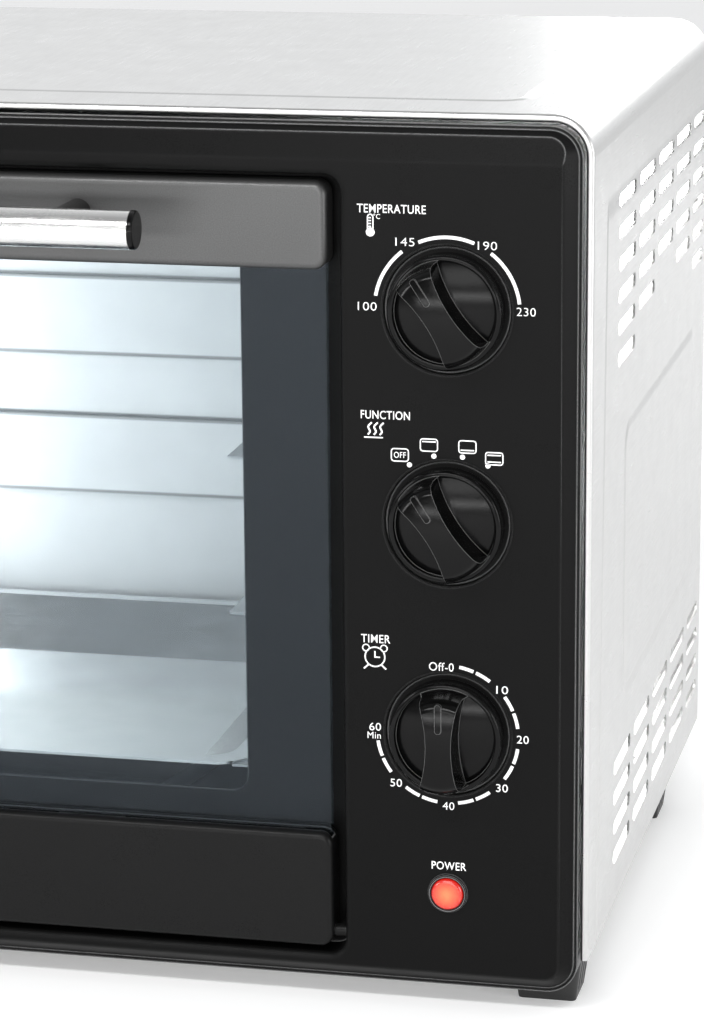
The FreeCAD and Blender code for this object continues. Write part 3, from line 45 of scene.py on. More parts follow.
class Finish:
    """One material: adds shader nodes and joins them."""

    def __init__(self, name):
        self.material = bpy.data.materials.new(name)
        self.material.use_nodes = True
        self.tree = self.material.node_tree
        self.shader = self.tree.nodes["Principled BSDF"]
        self.output = self.tree.nodes["Material Output"]
        self.place = self.add("ShaderNodeTexCoord").outputs["Object"]

    def add(self, kind, inputs=None, **settings):
        node = self.tree.nodes.new(kind)
        for name, setting in settings.items():
            setattr(node, name, setting)
        for key, content in (inputs or {}).items():
            self.feed(node.inputs[key], content)
        return node

    def feed(self, socket, content):
        if isinstance(content, bpy.types.NodeSocket):
            self.tree.links.new(content, socket)
        else:
            socket.default_value = content

    def set(self, **inputs):
        for name, content in inputs.items():
            self.feed(self.shader.inputs[name.replace("_", " ")], content)

    def math(self, operation, *terms, clamp=False):
        node = self.add("ShaderNodeMath", operation=operation, use_clamp=clamp)
        for index, term in enumerate(terms):
            self.feed(node.inputs[index], term)
        return node.outputs[0]

    def vector(self, operation, *terms):
        node = self.add("ShaderNodeVectorMath", operation=operation)
        for index, term in enumerate(terms):
            self.feed(node.inputs[index], term)
        return node.outputs["Value" if operation in ("LENGTH", "DOT_PRODUCT") else "Vector"]

    def axis(self, name):
        return self.add("ShaderNodeSeparateXYZ", {0: self.place}).outputs[name]

    def noise(self, scale, stretch=(1.0, 1.0, 1.0), detail=3.0, roughness=0.55):
        """Noise over the surface, in cycles per metre, with each axis scaled by stretch."""
        spot = self.vector("MULTIPLY", self.place, stretch)
        inputs = {"Vector": spot, "Scale": scale, "Detail": detail, "Roughness": roughness}
        return self.add("ShaderNodeTexNoise", inputs).outputs[0]

    def span(self, amount, first, last, low, high, kind="LINEAR"):
        """Map amount from first..last onto low..high, held at the ends."""
        inputs = {0: amount, 1: first, 2: last, 3: low, 4: high}
        return self.add("ShaderNodeMapRange", inputs, interpolation_type=kind, clamp=True).outputs[0]

    def blend(self, amount, first, last):
        node = self.add("ShaderNodeMix", data_type="RGBA")
        self.feed(node.inputs["Factor"], amount)
        self.feed(node.inputs[6], first)
        self.feed(node.inputs[7], last)
        return node.outputs[2]

    def bump(self, height, distance, strength=1.0, under=None):
        inputs = {"Height": height, "Distance": distance, "Strength": strength}
        if under is not None:
            inputs["Normal"] = under
        return self.add("ShaderNodeBump", inputs).outputs[0]

    def soft_edges(self, radius):
        return self.add("ShaderNodeBevel", {"Radius": radius}, samples=6).outputs[0]

    def edge_highlight(self, radius):
        """Mask for a painted highlight: 0 on flat faces, rising to 1 along bends and edges closer than
        radius.
        """
        face = self.add("ShaderNodeNewGeometry").outputs["True Normal"]
        turn = self.vector("DOT_PRODUCT", self.soft_edges(radius), face)
        return self.span(self.math("SUBTRACT", 1.0, turn), 0.01, 0.16, 0.0, 1.0)


def shade(level, tint=(1.0, 1.0, 1.0)):
    return tuple(level * part for part in tint) + (1.0,)


# ---------------------------------------------------------------- finishes

DOME_RADIUS = 55 * MM
FOLD_SHADE_WIDTH = 1.6 * MM
FOLD_HEIGHTS = (91.2, 125.7, 153.7, 188.2)
PANEL_EDGE = 3.0 * MM
PRESSED_HEIGHT = 1.5 * MM
SHEET_LEVEL = 0.60
SHEET_TINT = (0.955, 0.99, 1.0)


def rounded_mask(finish, axes, centre, half, corner, edge):
    """1 inside a rounded rectangle that lies in the plane of axes, 0 outside, with a soft edge."""
    flat = finish.vector("MULTIPLY", finish.vector("SUBTRACT", finish.place, centre), axes)
    inner = tuple((size - corner) * axis for size, axis in zip(half, axes))
    past = finish.vector("SUBTRACT", finish.vector("ABSOLUTE", flat), inner)
    over = finish.vector("MAXIMUM", past, (0, 0, 0))
    away = finish.math("SUBTRACT", finish.vector("LENGTH", over), corner)
    return finish.span(away, -edge, edge, 1.0, 0.0, "SMOOTHSTEP")


def brushed(name, level, rough, along, tint=(1.0, 0.998, 0.99)):
    """Brushed steel: fine scratches along one axis, with broad faint clouds."""
    finish = Finish(name)
    across, down = 1.0, 0.03
    stretch = tuple(down if axis == along else across for axis in "XYZ")
    grain = finish.noise(1500.0, stretch, 4.0, 0.7)
    cloud = finish.noise(9.0, detail=2.0)
    wear = finish.noise(60.0, detail=5.0, roughness=0.65)
    tone = finish.math("MULTIPLY_ADD", grain, 0.10, finish.math("MULTIPLY", cloud, 0.12))
    finish.set(Base_Color=finish.blend(tone, shade(level, tint), shade(level * 0.72, tint)), Metallic=1.0)
    roughness = finish.math("ADD", finish.span(grain, 0.3, 0.7, rough - 0.05, rough + 0.06),
                            finish.span(wear, 0.35, 0.75, -0.02, 0.05))
    finish.set(Roughness=roughness)
    return finish, grain


def cover_finish():
    """Brushed cover with pressed panels: a wide one on top, one on each side, and a fold behind the front."""
    finish, grain = brushed("cover_brushed_steel", 0.60, 0.31, "Y")
    low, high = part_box("outer_cover")
    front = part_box("front_frame")[0].y
    top_centre, top_half = (0, front + 157 * MM, 0), (219 * MM, 118 * MM, 0)
    side_centre, side_half = (0, front + 184 * MM, low.z + 132 * MM), (0, 98 * MM, 53 * MM)
    top = rounded_mask(finish, (1, 1, 0), top_centre, top_half, 12 * MM, PANEL_EDGE)
    side = rounded_mask(finish, (0, 1, 1), side_centre, side_half, 10 * MM, PANEL_EDGE)
    y, z = finish.axis("Y"), finish.axis("Z")
    lean = finish.math("MULTIPLY", finish.math("SUBTRACT", z, low.z), 12.0 / 276.0)
    behind = finish.math("SUBTRACT", finish.math("SUBTRACT", y, front + 26 * MM), lean)
    fold = finish.span(behind, -2.2 * MM, 2.2 * MM, 0.0, 1.0, "SMOOTHSTEP")
    below_corner = finish.span(z, high.z - 34 * MM, high.z - 44 * MM, 0.0, 1.0, "SMOOTHSTEP")
    fold = finish.math("MULTIPLY", fold, below_corner)
    pressed = finish.math("ADD", finish.math("ADD", top, side), finish.math("MULTIPLY", fold, 0.7))
    raised = finish.bump(pressed, PRESSED_HEIGHT)
    finish.set(Normal=finish.bump(grain, 0.02 * MM, 0.5, raised))
    return finish.material


def handle_finish():
    finish, grain = brushed("handle_brushed_steel", 0.80, 0.24, "X")
    finish.set(Normal=finish.bump(grain, 0.015 * MM, 0.5))
    return finish.material


def plated_finish(name, level, rough, metallic, tint, folds=()):
    """Bright sheet of the cavity, mottled and grained, with painted shade lines along folds at given heights.
    """
    finish = Finish(name)
    mottle = finish.noise(45.0, detail=4.0)
    grain = finish.noise(700.0, (0.1, 1.0, 1.0), 3.0)
    patches = finish.span(mottle, 0.35, 0.7, 0.0, 1.0)
    colour = finish.blend(patches, shade(level, tint), shade(level * 0.93, tint))
    if folds:
        z = finish.axis("Z")
        lines = 0.0
        for height in folds:
            away = finish.math("ABSOLUTE", finish.math("SUBTRACT", z, height))
            line = finish.span(away, FOLD_SHADE_WIDTH * 0.35, FOLD_SHADE_WIDTH, 1.0, 0.0, "SMOOTHSTEP")
            lines = finish.math("ADD", lines, line)
        # Painted shade: the colour is darkened along each fold, standing in for the shade the folds cast.
        colour = finish.blend(finish.math("MINIMUM", lines, 1.0), colour, shade(level * 0.42, tint))
    finish.set(Base_Color=colour)
    finish.shader.inputs["Metallic"].default_value = metallic
    finish.set(Roughness=finish.span(grain, 0.3, 0.7, rough - 0.03, rough + 0.05))
    finish.set(Normal=finish.bump(grain, 0.008 * MM, 0.3))
    return finish.material


def satin_black(name, level, rough, specular, soft, edge_light_level, edge_light_reach):
    """Powder-coated sheet: very fine speckle, slightly uneven sheen, and a painted highlight, a lighter
    colour, along bends and edges.
    """
    finish = Finish(name)
    fine = finish.noise(2600.0, detail=2.0, roughness=0.7)
    uneven = finish.noise(30.0, detail=4.0)
    speckle = finish.blend(finish.span(fine, 0.35, 0.75, 0.0, 1.0), shade(level), shade(level * 1.9))
    # Painted highlight: bends and edges are lightened in the colour, standing in for the light they catch.
    finish.set(Base_Color=finish.blend(finish.edge_highlight(edge_light_reach), speckle, shade(edge_light_level)))
    finish.shader.inputs["Specular IOR Level"].default_value = specular
    finish.set(Roughness=finish.math("ADD", finish.span(uneven, 0.3, 0.7, rough - 0.03, rough + 0.04),
                                     finish.span(fine, 0.3, 0.7, -0.03, 0.03)))
    finish.set(Normal=finish.bump(fine, 0.008 * MM, 0.5, finish.soft_edges(soft)))
    return finish.material


def upper_rail_lit_finish():
    """The door's upper rail: a copy of the rails' black paint, made dark grey and more metallic as painted
    light, standing in for the light the upper rail catches, so it shows lighter than the lower rail.
    """
    finish = Finish("upper_rail_lit_lacquer")
    fine = finish.noise(2400.0, detail=2.0, roughness=0.7)
    uneven = finish.noise(25.0, detail=3.0)
    finish.set(Base_Color=finish.blend(finish.span(fine, 0.3, 0.7, 0.0, 1.0), shade(0.075), shade(0.11)))
    finish.set(Metallic=0.7)
    finish.set(Roughness=finish.span(uneven, 0.3, 0.7, 0.36, 0.44))
    finish.set(Normal=finish.bump(fine, 0.02 * MM, 0.5))
    return finish.material


def gloss_black(name, knob=None):
    """Moulded gloss black with softened edges that carry a painted highlight, and a faint orange-peel; a
    knob's faces are slightly domed.
    """
    finish = Finish(name)
    peel = finish.noise(220.0, detail=2.0)
    haze = finish.noise(900.0, detail=3.0)
    body = finish.blend(peel, shade(0.0015), shade(0.003))
    # Painted highlight: edges are lightened in the colour.
    finish.set(Base_Color=finish.blend(finish.edge_highlight(0.4 * MM), body, shade(0.20)))
    finish.shader.inputs["Specular IOR Level"].default_value = 0.16
    finish.set(Roughness=finish.span(haze, 0.3, 0.7, 0.14, 0.21))
    normal = finish.soft_edges(0.5 * MM)
    if knob is not None:
        low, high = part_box(knob)
        centre = ((low.x + high.x) / 2, 0, (low.z + high.z) / 2)
        flat = finish.vector("MULTIPLY", finish.vector("SUBTRACT", finish.place, centre), (1, 0, 1))
        away = finish.vector("LENGTH", flat)
        dome = finish.math("DIVIDE", finish.math("MULTIPLY", away, away), -2 * DOME_RADIUS)
        normal = finish.bump(dome, 1.0, 1.0, normal)
    finish.set(Normal=finish.bump(peel, 0.04 * MM, 0.35, normal))
    return finish.material


def moulded_black(name, level, rough):
    finish = Finish(name)
    grain = finish.noise(1400.0, detail=3.0, roughness=0.6)
    patch = finish.noise(40.0, detail=3.0)
    finish.set(Base_Color=finish.blend(patch, shade(level), shade(level * 1.7)))
    finish.set(Roughness=finish.span(grain, 0.3, 0.7, rough - 0.05, rough + 0.07))
    finish.set(Normal=finish.bump(grain, 0.05 * MM, 0.5, finish.soft_edges(0.4 * MM)))
    return finish.material


def glass_finish():
    """Tinted pane: a Fresnel mix of coloured transparency and a sharp reflection."""
    finish = Finish("door_tinted_glass")
    finish.tree.nodes.remove(finish.shader)
    film = finish.noise(35.0, detail=4.0)
    tint = finish.blend(film, shade(0.91, (0.955, 0.985, 1.0)), shade(0.90, (0.955, 0.985, 1.0)))
    clear = finish.add("ShaderNodeBsdfTransparent", {"Color": tint})
    gloss = finish.add("ShaderNodeBsdfGlossy", {"Color": shade(0.52, (0.78, 0.88, 1.0)),
                                               "Roughness": finish.span(film, 0.3, 0.7, 0.02, 0.024)})
    mirror = finish.add("ShaderNodeFresnel", {"IOR": 1.45}).outputs[0]
    mixed = finish.add("ShaderNodeMixShader", {0: mirror, 1: clear.outputs[0], 2: gloss.outputs[0]})
    finish.feed(finish.output.inputs["Surface"], mixed.outputs[0])
    return finish.material


def fastener_finish():
    finish = Finish("fastener_zinc")
    grain = finish.noise(900.0, detail=3.0)
    finish.set(Base_Color=finish.blend(grain, shade(0.52), shade(0.38, (1.0, 0.98, 0.93))), Metallic=1.0)
    finish.set(Roughness=finish.span(grain, 0.3, 0.7, 0.28, 0.42))
    finish.set(Normal=finish.bump(grain, 0.03 * MM, 0.5))
    return finish.material


def heater_finish():
    """Oxidised heater tube: dull grey with brownish patches along it."""
    finish = Finish("heater_oxidised_tube")
    patch = finish.noise(55.0, (0.5, 1.0, 1.0), 4.0)
    fine = finish.noise(1300.0, detail=3.0)
    burnt = finish.span(patch, 0.35, 0.65, 0.0, 1.0)
    colour = finish.blend(burnt, shade(0.30, (1.0, 0.98, 0.95)), shade(0.20, (1.0, 0.88, 0.74)))
    finish.set(Base_Color=colour, Metallic=0.6)
    finish.set(Roughness=finish.span(fine, 0.3, 0.7, 0.48, 0.62))
    finish.set(Normal=finish.bump(fine, 0.04 * MM, 0.5))
    return finish.material


def ceramic_finish():
    finish = Finish("insulator_ceramic")
    fine = finish.noise(800.0, detail=4.0)
    finish.set(Base_Color=finish.blend(fine, shade(0.78, (1.0, 0.98, 0.93)), shade(0.62, (1.0, 0.97, 0.90))))
    finish.set(Roughness=finish.span(fine, 0.3, 0.7, 0.45, 0.6))
    finish.set(Normal=finish.bump(fine, 0.05 * MM, 0.4))
    return finish.material


def lens_finish():
    """Lit red lens: orange in the middle, deep red at the rim, with a glossy skin."""
    finish = Finish("lamp_red_lens")
    low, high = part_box("lamp_lens")
    centre = ((low.x + high.x) / 2, 0, (low.z + high.z) / 2)
    radius = (high.x - low.x) / 2
    flat = finish.vector("MULTIPLY", finish.vector("SUBTRACT", finish.place, centre), (1, 0, 1))
    away = finish.vector("LENGTH", flat)
    ripple = finish.math("MULTIPLY", finish.noise(500.0, detail=2.0), 0.25 * radius)
    depth = finish.span(finish.math("ADD", away, ripple), 0.25 * radius, 1.05 * radius, 0.0, 1.0)
    glow = finish.blend(depth, (1.0, 0.13, 0.04, 1.0), (0.42, 0.006, 0.002, 1.0))
    finish.set(Base_Color=finish.blend(depth, (0.9, 0.12, 0.04, 1.0), (0.35, 0.008, 0.004, 1.0)))
    finish.set(Emission_Color=glow)
    finish.shader.inputs["Emission Strength"].default_value = 0.75
    finish.shader.inputs["Coat Weight"].default_value = 0.8
    finish.shader.inputs["Coat Roughness"].default_value = 0.08
    finish.set(Roughness=finish.span(ripple, 0.0, 0.25 * radius, 0.18, 0.3))
    return finish.material


def glowing_print_finish():
    finish = Finish("white_panel_print_glow")
    speck = finish.noise(1800.0, detail=2.0)
    finish.set(Base_Color=finish.blend(speck, shade(0.93), shade(0.82)))
    finish.set(Roughness=finish.span(speck, 0.3, 0.7, 0.5, 0.65))
    # Painted light: the print glows faintly, though it is no lamp.
    finish.shader.inputs["Emission Strength"].default_value = 0.12
    finish.set(Emission_Color=shade(1.0))
    return finish.material


FINISHES = {
    "stainless": cover_finish(),
    "plated_sheet": plated_finish("cavity_plated_sheet", SHEET_LEVEL, 0.45, 0.35, SHEET_TINT),
    "tray_steel": plated_finish("tray_bright_steel", 0.66, 0.16, 0.9, (0.97, 0.995, 1.0)),
    "black_frame": satin_black("frame_satin_black", 0.0030, 0.30, 0.085, 2.0 * MM, 0.30, 1.1 * MM),
    "dark_rail": upper_rail_lit_finish(),
    "glass": glass_finish(),
    "black_plastic": gloss_black("gloss_black_plastic"),
    "foot_plastic": moulded_black("foot_moulded_black", 0.012, 0.45),
    "fastener_steel": fastener_finish(),
    "heater_tube": heater_finish(),
    "ceramic": ceramic_finish(),
    "switch_body": moulded_black("switch_moulded_body", 0.030, 0.5),
    "red_lens": lens_finish(),
}
HANDLE_STEEL = handle_finish()
LOWER_RAIL_BLACK = satin_black("lower_rail_satin_black", 0.005, 0.30, 0.14, 0.8 * MM, 0.30, 0.9 * MM)
SHEET_STEEL, _ = brushed("back_sheet_steel", 0.58, 0.36, "X")
GLOWING_WHITE_PRINT = glowing_print_finish()


def give_finishes():
    for node in NODES.values():
        for holder in node.material_slots:
            holder.material = FINISHES[holder.name]
    for name in ("temperature_knob", "function_knob", "timer_knob"):
        NODES[name].material_slots[0].material = gloss_black(name + "_gloss", name)
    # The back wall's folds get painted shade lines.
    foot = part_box("cavity_back_wall")[0].z
    folds = [foot + height * MM for height in FOLD_HEIGHTS]
    NODES["cavity_back_wall"].material_slots[0].material = plated_finish(
        "back_wall_pressed_sheet_fold_shade", SHEET_LEVEL, 0.45, 0.35, SHEET_TINT, folds)
    # Painted shade: the steel hinge pins get a black finish, standing in for the shade of the gap they sit
    # in.
    for name in ("hinge_pin_left", "hinge_pin_right"):
        NODES[name].material_slots[0].material = LOWER_RAIL_BLACK
    NODES["handle_bar"].material_slots[0].material = HANDLE_STEEL
    NODES["door_lower_rail"].material_slots[0].material = LOWER_RAIL_BLACK
    for name in ("rear_panel", "base_plate"):
        NODES[name].material_slots[0].material = SHEET_STEEL.material


# ---------------------------------------------------------------- printed marks

PRINT_LIFT = 0.03 * MM
PRINT_THICKNESS = 0.10 * MM


class Print:
    """Flat marks on the control panel, gathered into one thin piece."""

    def __init__(self, centre):
        self.centre = Vector(centre)
        self.mesh = bmesh.new()

    def text(self, words, x, z, width, height, weight=0.0):
        """Words centred at x, z millimetres from the centre, scaled to width and height."""
        curve = bpy.data.curves.new("words", "FONT")
        curve.body = words
        curve.align_x, curve.align_y = "CENTER", "CENTER"
        curve.offset = weight
        curve.space_character = 1.07
        curve.resolution_u = 5
        holder = bpy.data.objects.new("words", curve)
        bpy.context.scene.collection.objects.link(holder)
        graph = bpy.context.evaluated_depsgraph_get()
        flat = bpy.data.meshes.new_from_object(holder.evaluated_get(graph))
        xs = [vertex.co.x for vertex in flat.vertices]
        ys = [vertex.co.y for vertex in flat.vertices]
        middle = Vector(((min(xs) + max(xs)) / 2, (min(ys) + max(ys)) / 2, 0))
        across = width / (max(xs) - min(xs))
        up = height / (max(ys) - min(ys))
        for vertex in flat.vertices:
            spot = vertex.co - middle
            vertex.co = self.point(x + spot.x * across, z + spot.y * up)
        self.mesh.from_mesh(flat)
        bpy.data.objects.remove(holder)
        bpy.data.curves.remove(curve)
        bpy.data.meshes.remove(flat)

    def point(self, x, z):
        return self.centre + Vector((x * MM, 0, z * MM))

    def stroke(self, points, width, closed=False):
        """A band of even width along a line through points, in millimetres from the centre."""
        points = [Vector(point) for point in points]
        count = len(points)
        rows = []
        for index, here in enumerate(points):
            before = points[(index - 1) % count] if closed or index > 0 else None
            after = points[(index + 1) % count] if closed or index < count - 1 else None
            ways = [(here - before).normalized()] if before is not None else []
            ways += [(after - here).normalized()] if after is not None else []
            way = sum(ways, Vector((0, 0))).normalized()
            normal = Vector((-way.y, way.x))
            reach = width / 2 / max(0.4, abs(way.dot(ways[0])))
            rows.append([self.mesh.verts.new(self.point(*(here + normal * reach))),
                         self.mesh.verts.new(self.point(*(here - normal * reach)))])
        for index in range(count if closed else count - 1):
            first, last = rows[index], rows[(index + 1) % count]
            self.mesh.faces.new((first[0], first[1], last[1], last[0]))

    def arc(self, x, z, radius, width, start, end):
        """A band round x, z from start to end, in degrees clockwise from the top."""
        steps = max(6, int(abs(end - start) / 3))
        turns = [math.radians(start + (end - start) * index / steps) for index in range(steps + 1)]
        self.stroke([(x + radius * math.sin(turn), z + radius * math.cos(turn)) for turn in turns], width)

    def ring(self, x, z, radius, width):
        turns = [math.radians(index * 12) for index in range(30)]
        points = [(x + radius * math.sin(turn), z + radius * math.cos(turn)) for turn in turns]
        self.stroke(points, width, True)

    def dot(self, x, z, radius):
        turns = [math.radians(index * 15) for index in range(24)]
        points = [self.point(x + radius * math.cos(turn), z + radius * math.sin(turn)) for turn in turns]
        self.mesh.faces.new([self.mesh.verts.new(point) for point in points])

    def frame(self, x, z, width, height, corner, line):
        """The outline of a rectangle with round corners."""
        points = []
        for sx, sz, turn in ((1, 1, 0), (-1, 1, 90), (-1, -1, 180), (1, -1, 270)):
            cx, cz = x + sx * (width / 2 - corner), z + sz * (height / 2 - corner)
            for step in range(4):
                angle = math.radians(turn + step * 30)
                points.append((cx + corner * math.cos(angle), cz + corner * math.sin(angle)))
        self.stroke(points, line, True)

    def finish(self, name, body):
        mesh = bpy.data.meshes.new(name)
        self.mesh.to_mesh(mesh)
        self.mesh.free()
        piece = bpy.data.objects.new(name, mesh)
        bpy.context.scene.collection.objects.link(piece)
        for face in mesh.polygons:
            face.use_smooth = False
        solid = piece.modifiers.new("thickness", "SOLIDIFY")
        solid.thickness = PRINT_THICKNESS
        solid.offset = 0.0
        mesh.materials.append(GLOWING_WHITE_PRINT)
        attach(piece, body)
        return piece


def panel_spot(node):
    """The point on the panel behind the middle of a knob or lens."""
    low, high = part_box(node)
    return ((low.x + high.x) / 2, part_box("front_frame")[0].y - PRINT_LIFT, (low.z + high.z) / 2)


SCALE_R = 26.4
SCALE_WIDTH = 1.25
TITLE_HEIGHT = 3.1
TITLE_WEIGHT = 0.004


def temperature_marks():
    marks = Print(panel_spot("temperature_knob"))
    marks.text("TEMPERATURE", -20.1, 36.0, 25.0, TITLE_HEIGHT, TITLE_WEIGHT)
    for words, x, z in (("100", -29.1, 0.6), ("145", -15.2, 24.3), ("190", 14.6, 23.8), ("230", 28.6, 0.5)):
        marks.text(words, x, z, 6.9, 3.0, -0.008)
    for start, end in ((-80, -38), (-23, 22), (37, 83)):
        marks.arc(0, 0, SCALE_R, SCALE_WIDTH, start, end)
    thermometer(marks, -27.8, 25.9)
    marks.text("°C", -25.4, 33.2, 2.4, 1.9)
    return marks.finish("temperature_marks", "oven")


def thermometer(marks, x, z):
    """A filled bulb at the bottom of a round-topped tube with four graduations."""
    bulb, tube, shoulder, line = 1.6, 1.0, 7.0, 0.42
    turns = [math.radians(step * 30) for step in range(7)]
    cap = [(x + tube * math.cos(turn), z + shoulder + tube * math.sin(turn)) for turn in turns]
    marks.stroke([(x + tube, z + bulb)] + cap + [(x - tube, z + bulb)], line)
    marks.dot(x, z + bulb, bulb)
    for step in range(4):
        level = z + 3.6 + step * 1.05
        marks.stroke([(x - tube, level), (x + 0.3, level)], line)


def function_marks():
    marks = Print(panel_spot("function_knob"))
    marks.text("FUNCTION", -22.7, 39.4, 18.1, TITLE_HEIGHT, TITLE_WEIGHT)
    steam(marks, -27.0, 33.6)
    for x, z in ((-13.9, 21.4), (-4.9, 25.0), (5.6, 25.1), (14.9, 22.3)):
        marks.dot(x, z, 0.95)
    marks.frame(-17.4, 24.9, 6.3, 4.6, 1.0, 0.42)
    marks.text("OFF", -17.4, 24.9, 4.4, 2.2)
    for x, z, bars in ((-6.7, 29.0, (1,)), (7.4, 28.9, (-1,)), (17.2, 25.0, (1, -1))):
        marks.frame(x, z, 6.3, 4.5, 0.9, 0.42)
        for side in bars:
            marks.stroke([(x - 2.5, z + side * 1.25), (x + 2.5, z + side * 1.25)], 0.45)
    return marks.finish("function_marks", "oven")


def steam(marks, x, z):
    """Three rising waves over a base line."""
    for column in (-2.2, 0.0, 2.2):
        wave = [(x + column + 0.55 * math.sin(step * math.pi / 4) + 0.12 * step, z - 1.6 + step * 0.5)
                for step in range(10)]
        marks.stroke(wave, 0.62)
    marks.stroke([(x - 3.6, z - 2.6), (x + 3.4, z - 2.6)], 0.45)


def timer_marks():
    marks = Print(panel_spot("timer_knob"))
    marks.text("TIMER", -26.8, 35.1, 10.9, TITLE_HEIGHT, TITLE_WEIGHT)
    marks.text("Off-0", -2.3, 25.8, 9.2, 3.2)
    for words, x, z in (("10", 20.3, 18.3), ("20", 28.0, -0.2), ("30", 20.3, -19.3), ("40", 0.3, -27.5),
                        ("50", -19.4, -19.8), ("60", -27.2, 1.4)):
        marks.text(words, x, z, 4.4, 3.0)
    marks.text("Min", -27.6, -1.9, 5.0, 2.5)
    tick = 22.5
    for step in range(6):
        near = 2 * step * tick + (8.5 if step else 9.5)
        far = 2 * (step + 1) * tick - 8.5
        half = (2 * step + 1) * tick
        marks.arc(0, 0, SCALE_R, SCALE_WIDTH, near, half - 1.1)
        marks.arc(0, 0, SCALE_R, SCALE_WIDTH, half + 1.1, far)
    alarm_clock(marks, -27.1, 28.2)
    return marks.finish("timer_marks", "oven")


def alarm_clock(marks, x, z):
    marks.ring(x, z, 3.7, 0.5)
    marks.stroke([(x, z + 2.2), (x, z - 0.1), (x + 1.9, z - 0.1)], 0.5)
    for side in (-1, 1):
        marks.ring(x + side * 3.35, z + 3.35, 1.25, 0.42)
        marks.stroke([(x + side * 2.4, z - 3.0), (x + side * 4.2, z - 4.6)], 0.6)


def lamp_marks():
    marks = Print(panel_spot("lamp_lens"))
    marks.text("POWER", 0.4, 10.6, 13.0, TITLE_HEIGHT, TITLE_WEIGHT)
    return marks.finish("lamp_marks", "oven")


# ---------------------------------------------------------------- small pieces

def turned(name, outline, centre, steps=72):
    """A ring turned about the Y axis from an outline of (radius, y) points in millimetres."""
    mesh = bmesh.new()
    rows = []
    for step in range(steps):
        turn = 2 * math.pi * step / steps
        spots = [Vector((radius * math.sin(turn), y, radius * math.cos(turn))) * MM for radius, y in outline]
        rows.append([mesh.verts.new(Vector(centre) + spot) for spot in spots])
    for step in range(steps):
        here, there = rows[step], rows[(step + 1) % steps]
        for index in range(len(outline)):
            after = (index + 1) % len(outline)
            mesh.faces.new((here[index], here[after], there[after], there[index]))
    bmesh.ops.recalc_face_normals(mesh, faces=mesh.faces)
    data = bpy.data.meshes.new(name)
    mesh.to_mesh(data)
    mesh.free()
    for face in data.polygons:
        face.use_smooth = True
    piece = bpy.data.objects.new(name, data)
    bpy.context.scene.collection.objects.link(piece)
    return piece


def lamp_bezel():
    """Black ring that holds the lens in the panel."""
    low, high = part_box("lamp_lens")
    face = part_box("front_frame")[0].y
    inner = (high.x - low.x) / 2 / MM + 0.05
    outline = ((0, -0.02), (0.1, -1.3), (0.6, -1.7), (1.2, -1.4), (1.6, -0.02))
    section = [(inner + out, y) for out, y in outline]
    piece = turned("lamp_bezel", section, ((low.x + high.x) / 2, face, (low.z + high.z) / 2))
    piece.data.materials.append(FINISHES["black_plastic"])
    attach(piece, "oven")
    return piece


# ---------------------------------------------------------------- studio

def floor_finish():
    finish = Finish("studio_floor")
    cloud = finish.noise(1.2, detail=2.0)
    finish.set(Base_Color=finish.blend(cloud, shade(0.90), shade(0.86)))
    finish.set(Roughness=0.9)
    finish.set(Emission_Color=shade(1.0))
    finish.shader.inputs["Emission Strength"].default_value = FLOOR_GLOW
    finish.shader.inputs["Specular IOR Level"].default_value = 0.1
    return finish.material


FRONT_LEVEL = 0.20
BACK_LEVEL = 1.12
OVERHEAD_LEVEL = 0.55
FLOOR_GLOW = 0.25
BAY_POWER = 1.4
CAVITY_POWER = 0.055


def make_floor():
    size = 14.0
    mesh = bpy.data.meshes.new("floor")
    corners = [(-size, -size, 0), (size, -size, 0), (size, size, 0), (-size, size, 0)]
    mesh.from_pydata(corners, [], [(0, 1, 2, 3)])
    mesh.materials.append(floor_finish())
    floor = bpy.data.objects.new("floor", mesh)
    bpy.context.scene.collection.objects.link(floor)


def make_world():
    """A room that is bright behind and beside the object, dim in front of it and overhead."""
    world = bpy.data.worlds.new("studio")
    world.use_nodes = True
    tree = world.node_tree
    back = tree.nodes["Background"]
    place = tree.nodes.new("ShaderNodeTexCoord").outputs["Generated"]
    parts = tree.nodes.new("ShaderNodeSeparateXYZ")
    tree.links.new(place, parts.inputs[0])
    levels = []
    ramps = (("Y", -0.75, 0.35, FRONT_LEVEL, BACK_LEVEL), ("Z", 0.45, 1.0, 1.0, OVERHEAD_LEVEL))
    for axis, first, last, low, high in ramps:
        ramp = tree.nodes.new("ShaderNodeMapRange")
        ramp.interpolation_type = "SMOOTHSTEP"
        tree.links.new(parts.outputs[axis], ramp.inputs[0])
        for index, number in enumerate((first, last, low, high), start=1):
            ramp.inputs[index].default_value = number
        levels.append(ramp.outputs[0])
    both = tree.nodes.new("ShaderNodeMath")
    both.operation = "MULTIPLY"
    tree.links.new(levels[0], both.inputs[0])
    tree.links.new(levels[1], both.inputs[1])
    tree.links.new(both.outputs[0], back.inputs["Strength"])
    back.inputs["Color"].default_value = (0.99, 1.0, 1.01, 1)
    bpy.context.scene.world = world


def area_light(name, spot, target, size, power, colour=(1.0, 1.0, 1.0)):
    data = bpy.data.lights.new(name, "AREA")
    data.shape = "RECTANGLE"
    data.size, data.size_y = size
    data.energy = power
    data.color = colour
    light = bpy.data.objects.new(name, data)
    light.location = spot
    light.rotation_euler = (Vector(target) - Vector(spot)).to_track_quat("-Z", "Y").to_euler()
    light.visible_camera = False
    bpy.context.scene.collection.objects.link(light)


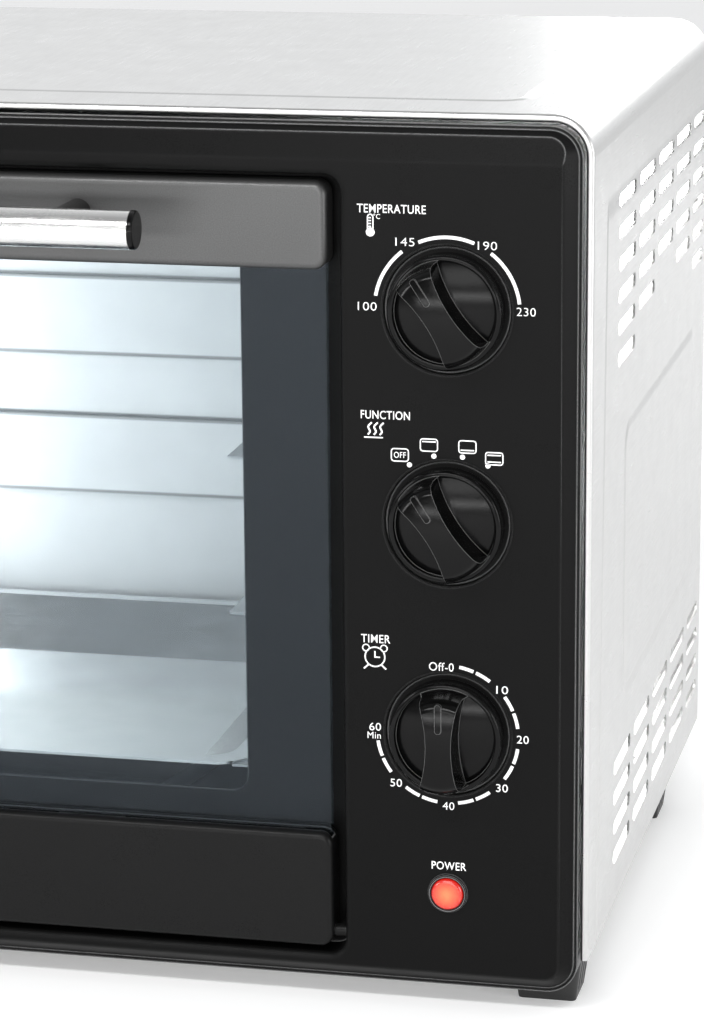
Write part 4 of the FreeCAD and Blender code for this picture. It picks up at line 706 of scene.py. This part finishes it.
def make_lights():
    area_light("strip_above", (0.0, -1.5, 1.55), (0, -0.1, 0.25), (1.7, 0.26), 24.0)
    area_light("softbox_front", (0.3, -2.6, 1.0), (0, 0, 0.25), (1.6, 0.6), 12.0)
    area_light("strip_low", (0.2, -2.3, 0.34), (0.1, 0, 0.25), (2.2, 0.16), 12.0)
    area_light("side_right", (1.5, -0.45, 0.38), (0.2, -0.1, 0.2), (0.4, 0.6), 5.0)
    area_light("side_left", (-1.5, -1.2, 0.9), (0.1, -0.1, 0.2), (0.4, 0.8), 12.0)
    area_light("edge_behind", (0.40, 2.1, 0.72), (0.2, 0.0, 0.33), (1.0, 0.28), 9.0)
    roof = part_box("cavity_roof")[0]
    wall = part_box("cavity_back_wall")
    middle = (wall[0].x + wall[1].x) / 2
    area_light("cavity_fill", (middle, 0.0, roof.z - 3 * MM), (middle, 0.0, 0.0), (0.26, 0.16), CAVITY_POWER,
               (0.95, 0.98, 1.0))
    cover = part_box("outer_cover")
    for side, liner in (("left", wall[0].x), ("right", wall[1].x)):
        shell = cover[0].x if side == "left" else cover[1].x
        between = (shell + liner) / 2
        for level in (0.3, 0.75):
            z = cover[0].z + (cover[1].z - cover[0].z) * level
            name = f"bay_{side}_{int(level * 100)}"
            area_light(name, (between, 0.02, z), (liner, 0.05, z), (0.2, 0.06), BAY_POWER)


CAMERA_SPOT = (0.4467, -1.36725, 0.5094)
CAMERA_TURN = (-12.99, 14.22, -0.47)
CAMERA_LENS = 124.64


def make_camera():
    """The camera stands in front of the panel, above and to its right, turned a little to the left."""
    data = bpy.data.cameras.new("camera")
    data.lens = CAMERA_LENS
    data.sensor_width = 36.0
    data.sensor_fit = "AUTO"
    yaw, pitch, roll = (math.radians(angle) for angle in CAMERA_TURN)
    ahead = Vector((math.sin(yaw) * math.cos(pitch), math.cos(yaw) * math.cos(pitch), -math.sin(pitch)))
    right = Vector((math.cos(yaw), -math.sin(yaw), 0))
    up = right.cross(ahead)
    turned_right = right * math.cos(roll) + up * math.sin(roll)
    turned_up = up * math.cos(roll) - right * math.sin(roll)
    camera = bpy.data.objects.new("camera", data)
    turn = Matrix((turned_right, turned_up, -ahead)).transposed().to_4x4()
    camera.matrix_world = Matrix.Translation(CAMERA_SPOT) @ turn
    bpy.context.scene.collection.objects.link(camera)
    bpy.context.scene.camera = camera


# ---------------------------------------------------------------- all together

give_finishes()
temperature_marks()
function_marks()
timer_marks()
lamp_marks()
lamp_bezel()
make_floor()
make_world()
make_lights()
make_camera()
bpy.context.scene.view_settings.view_transform = "Standard"
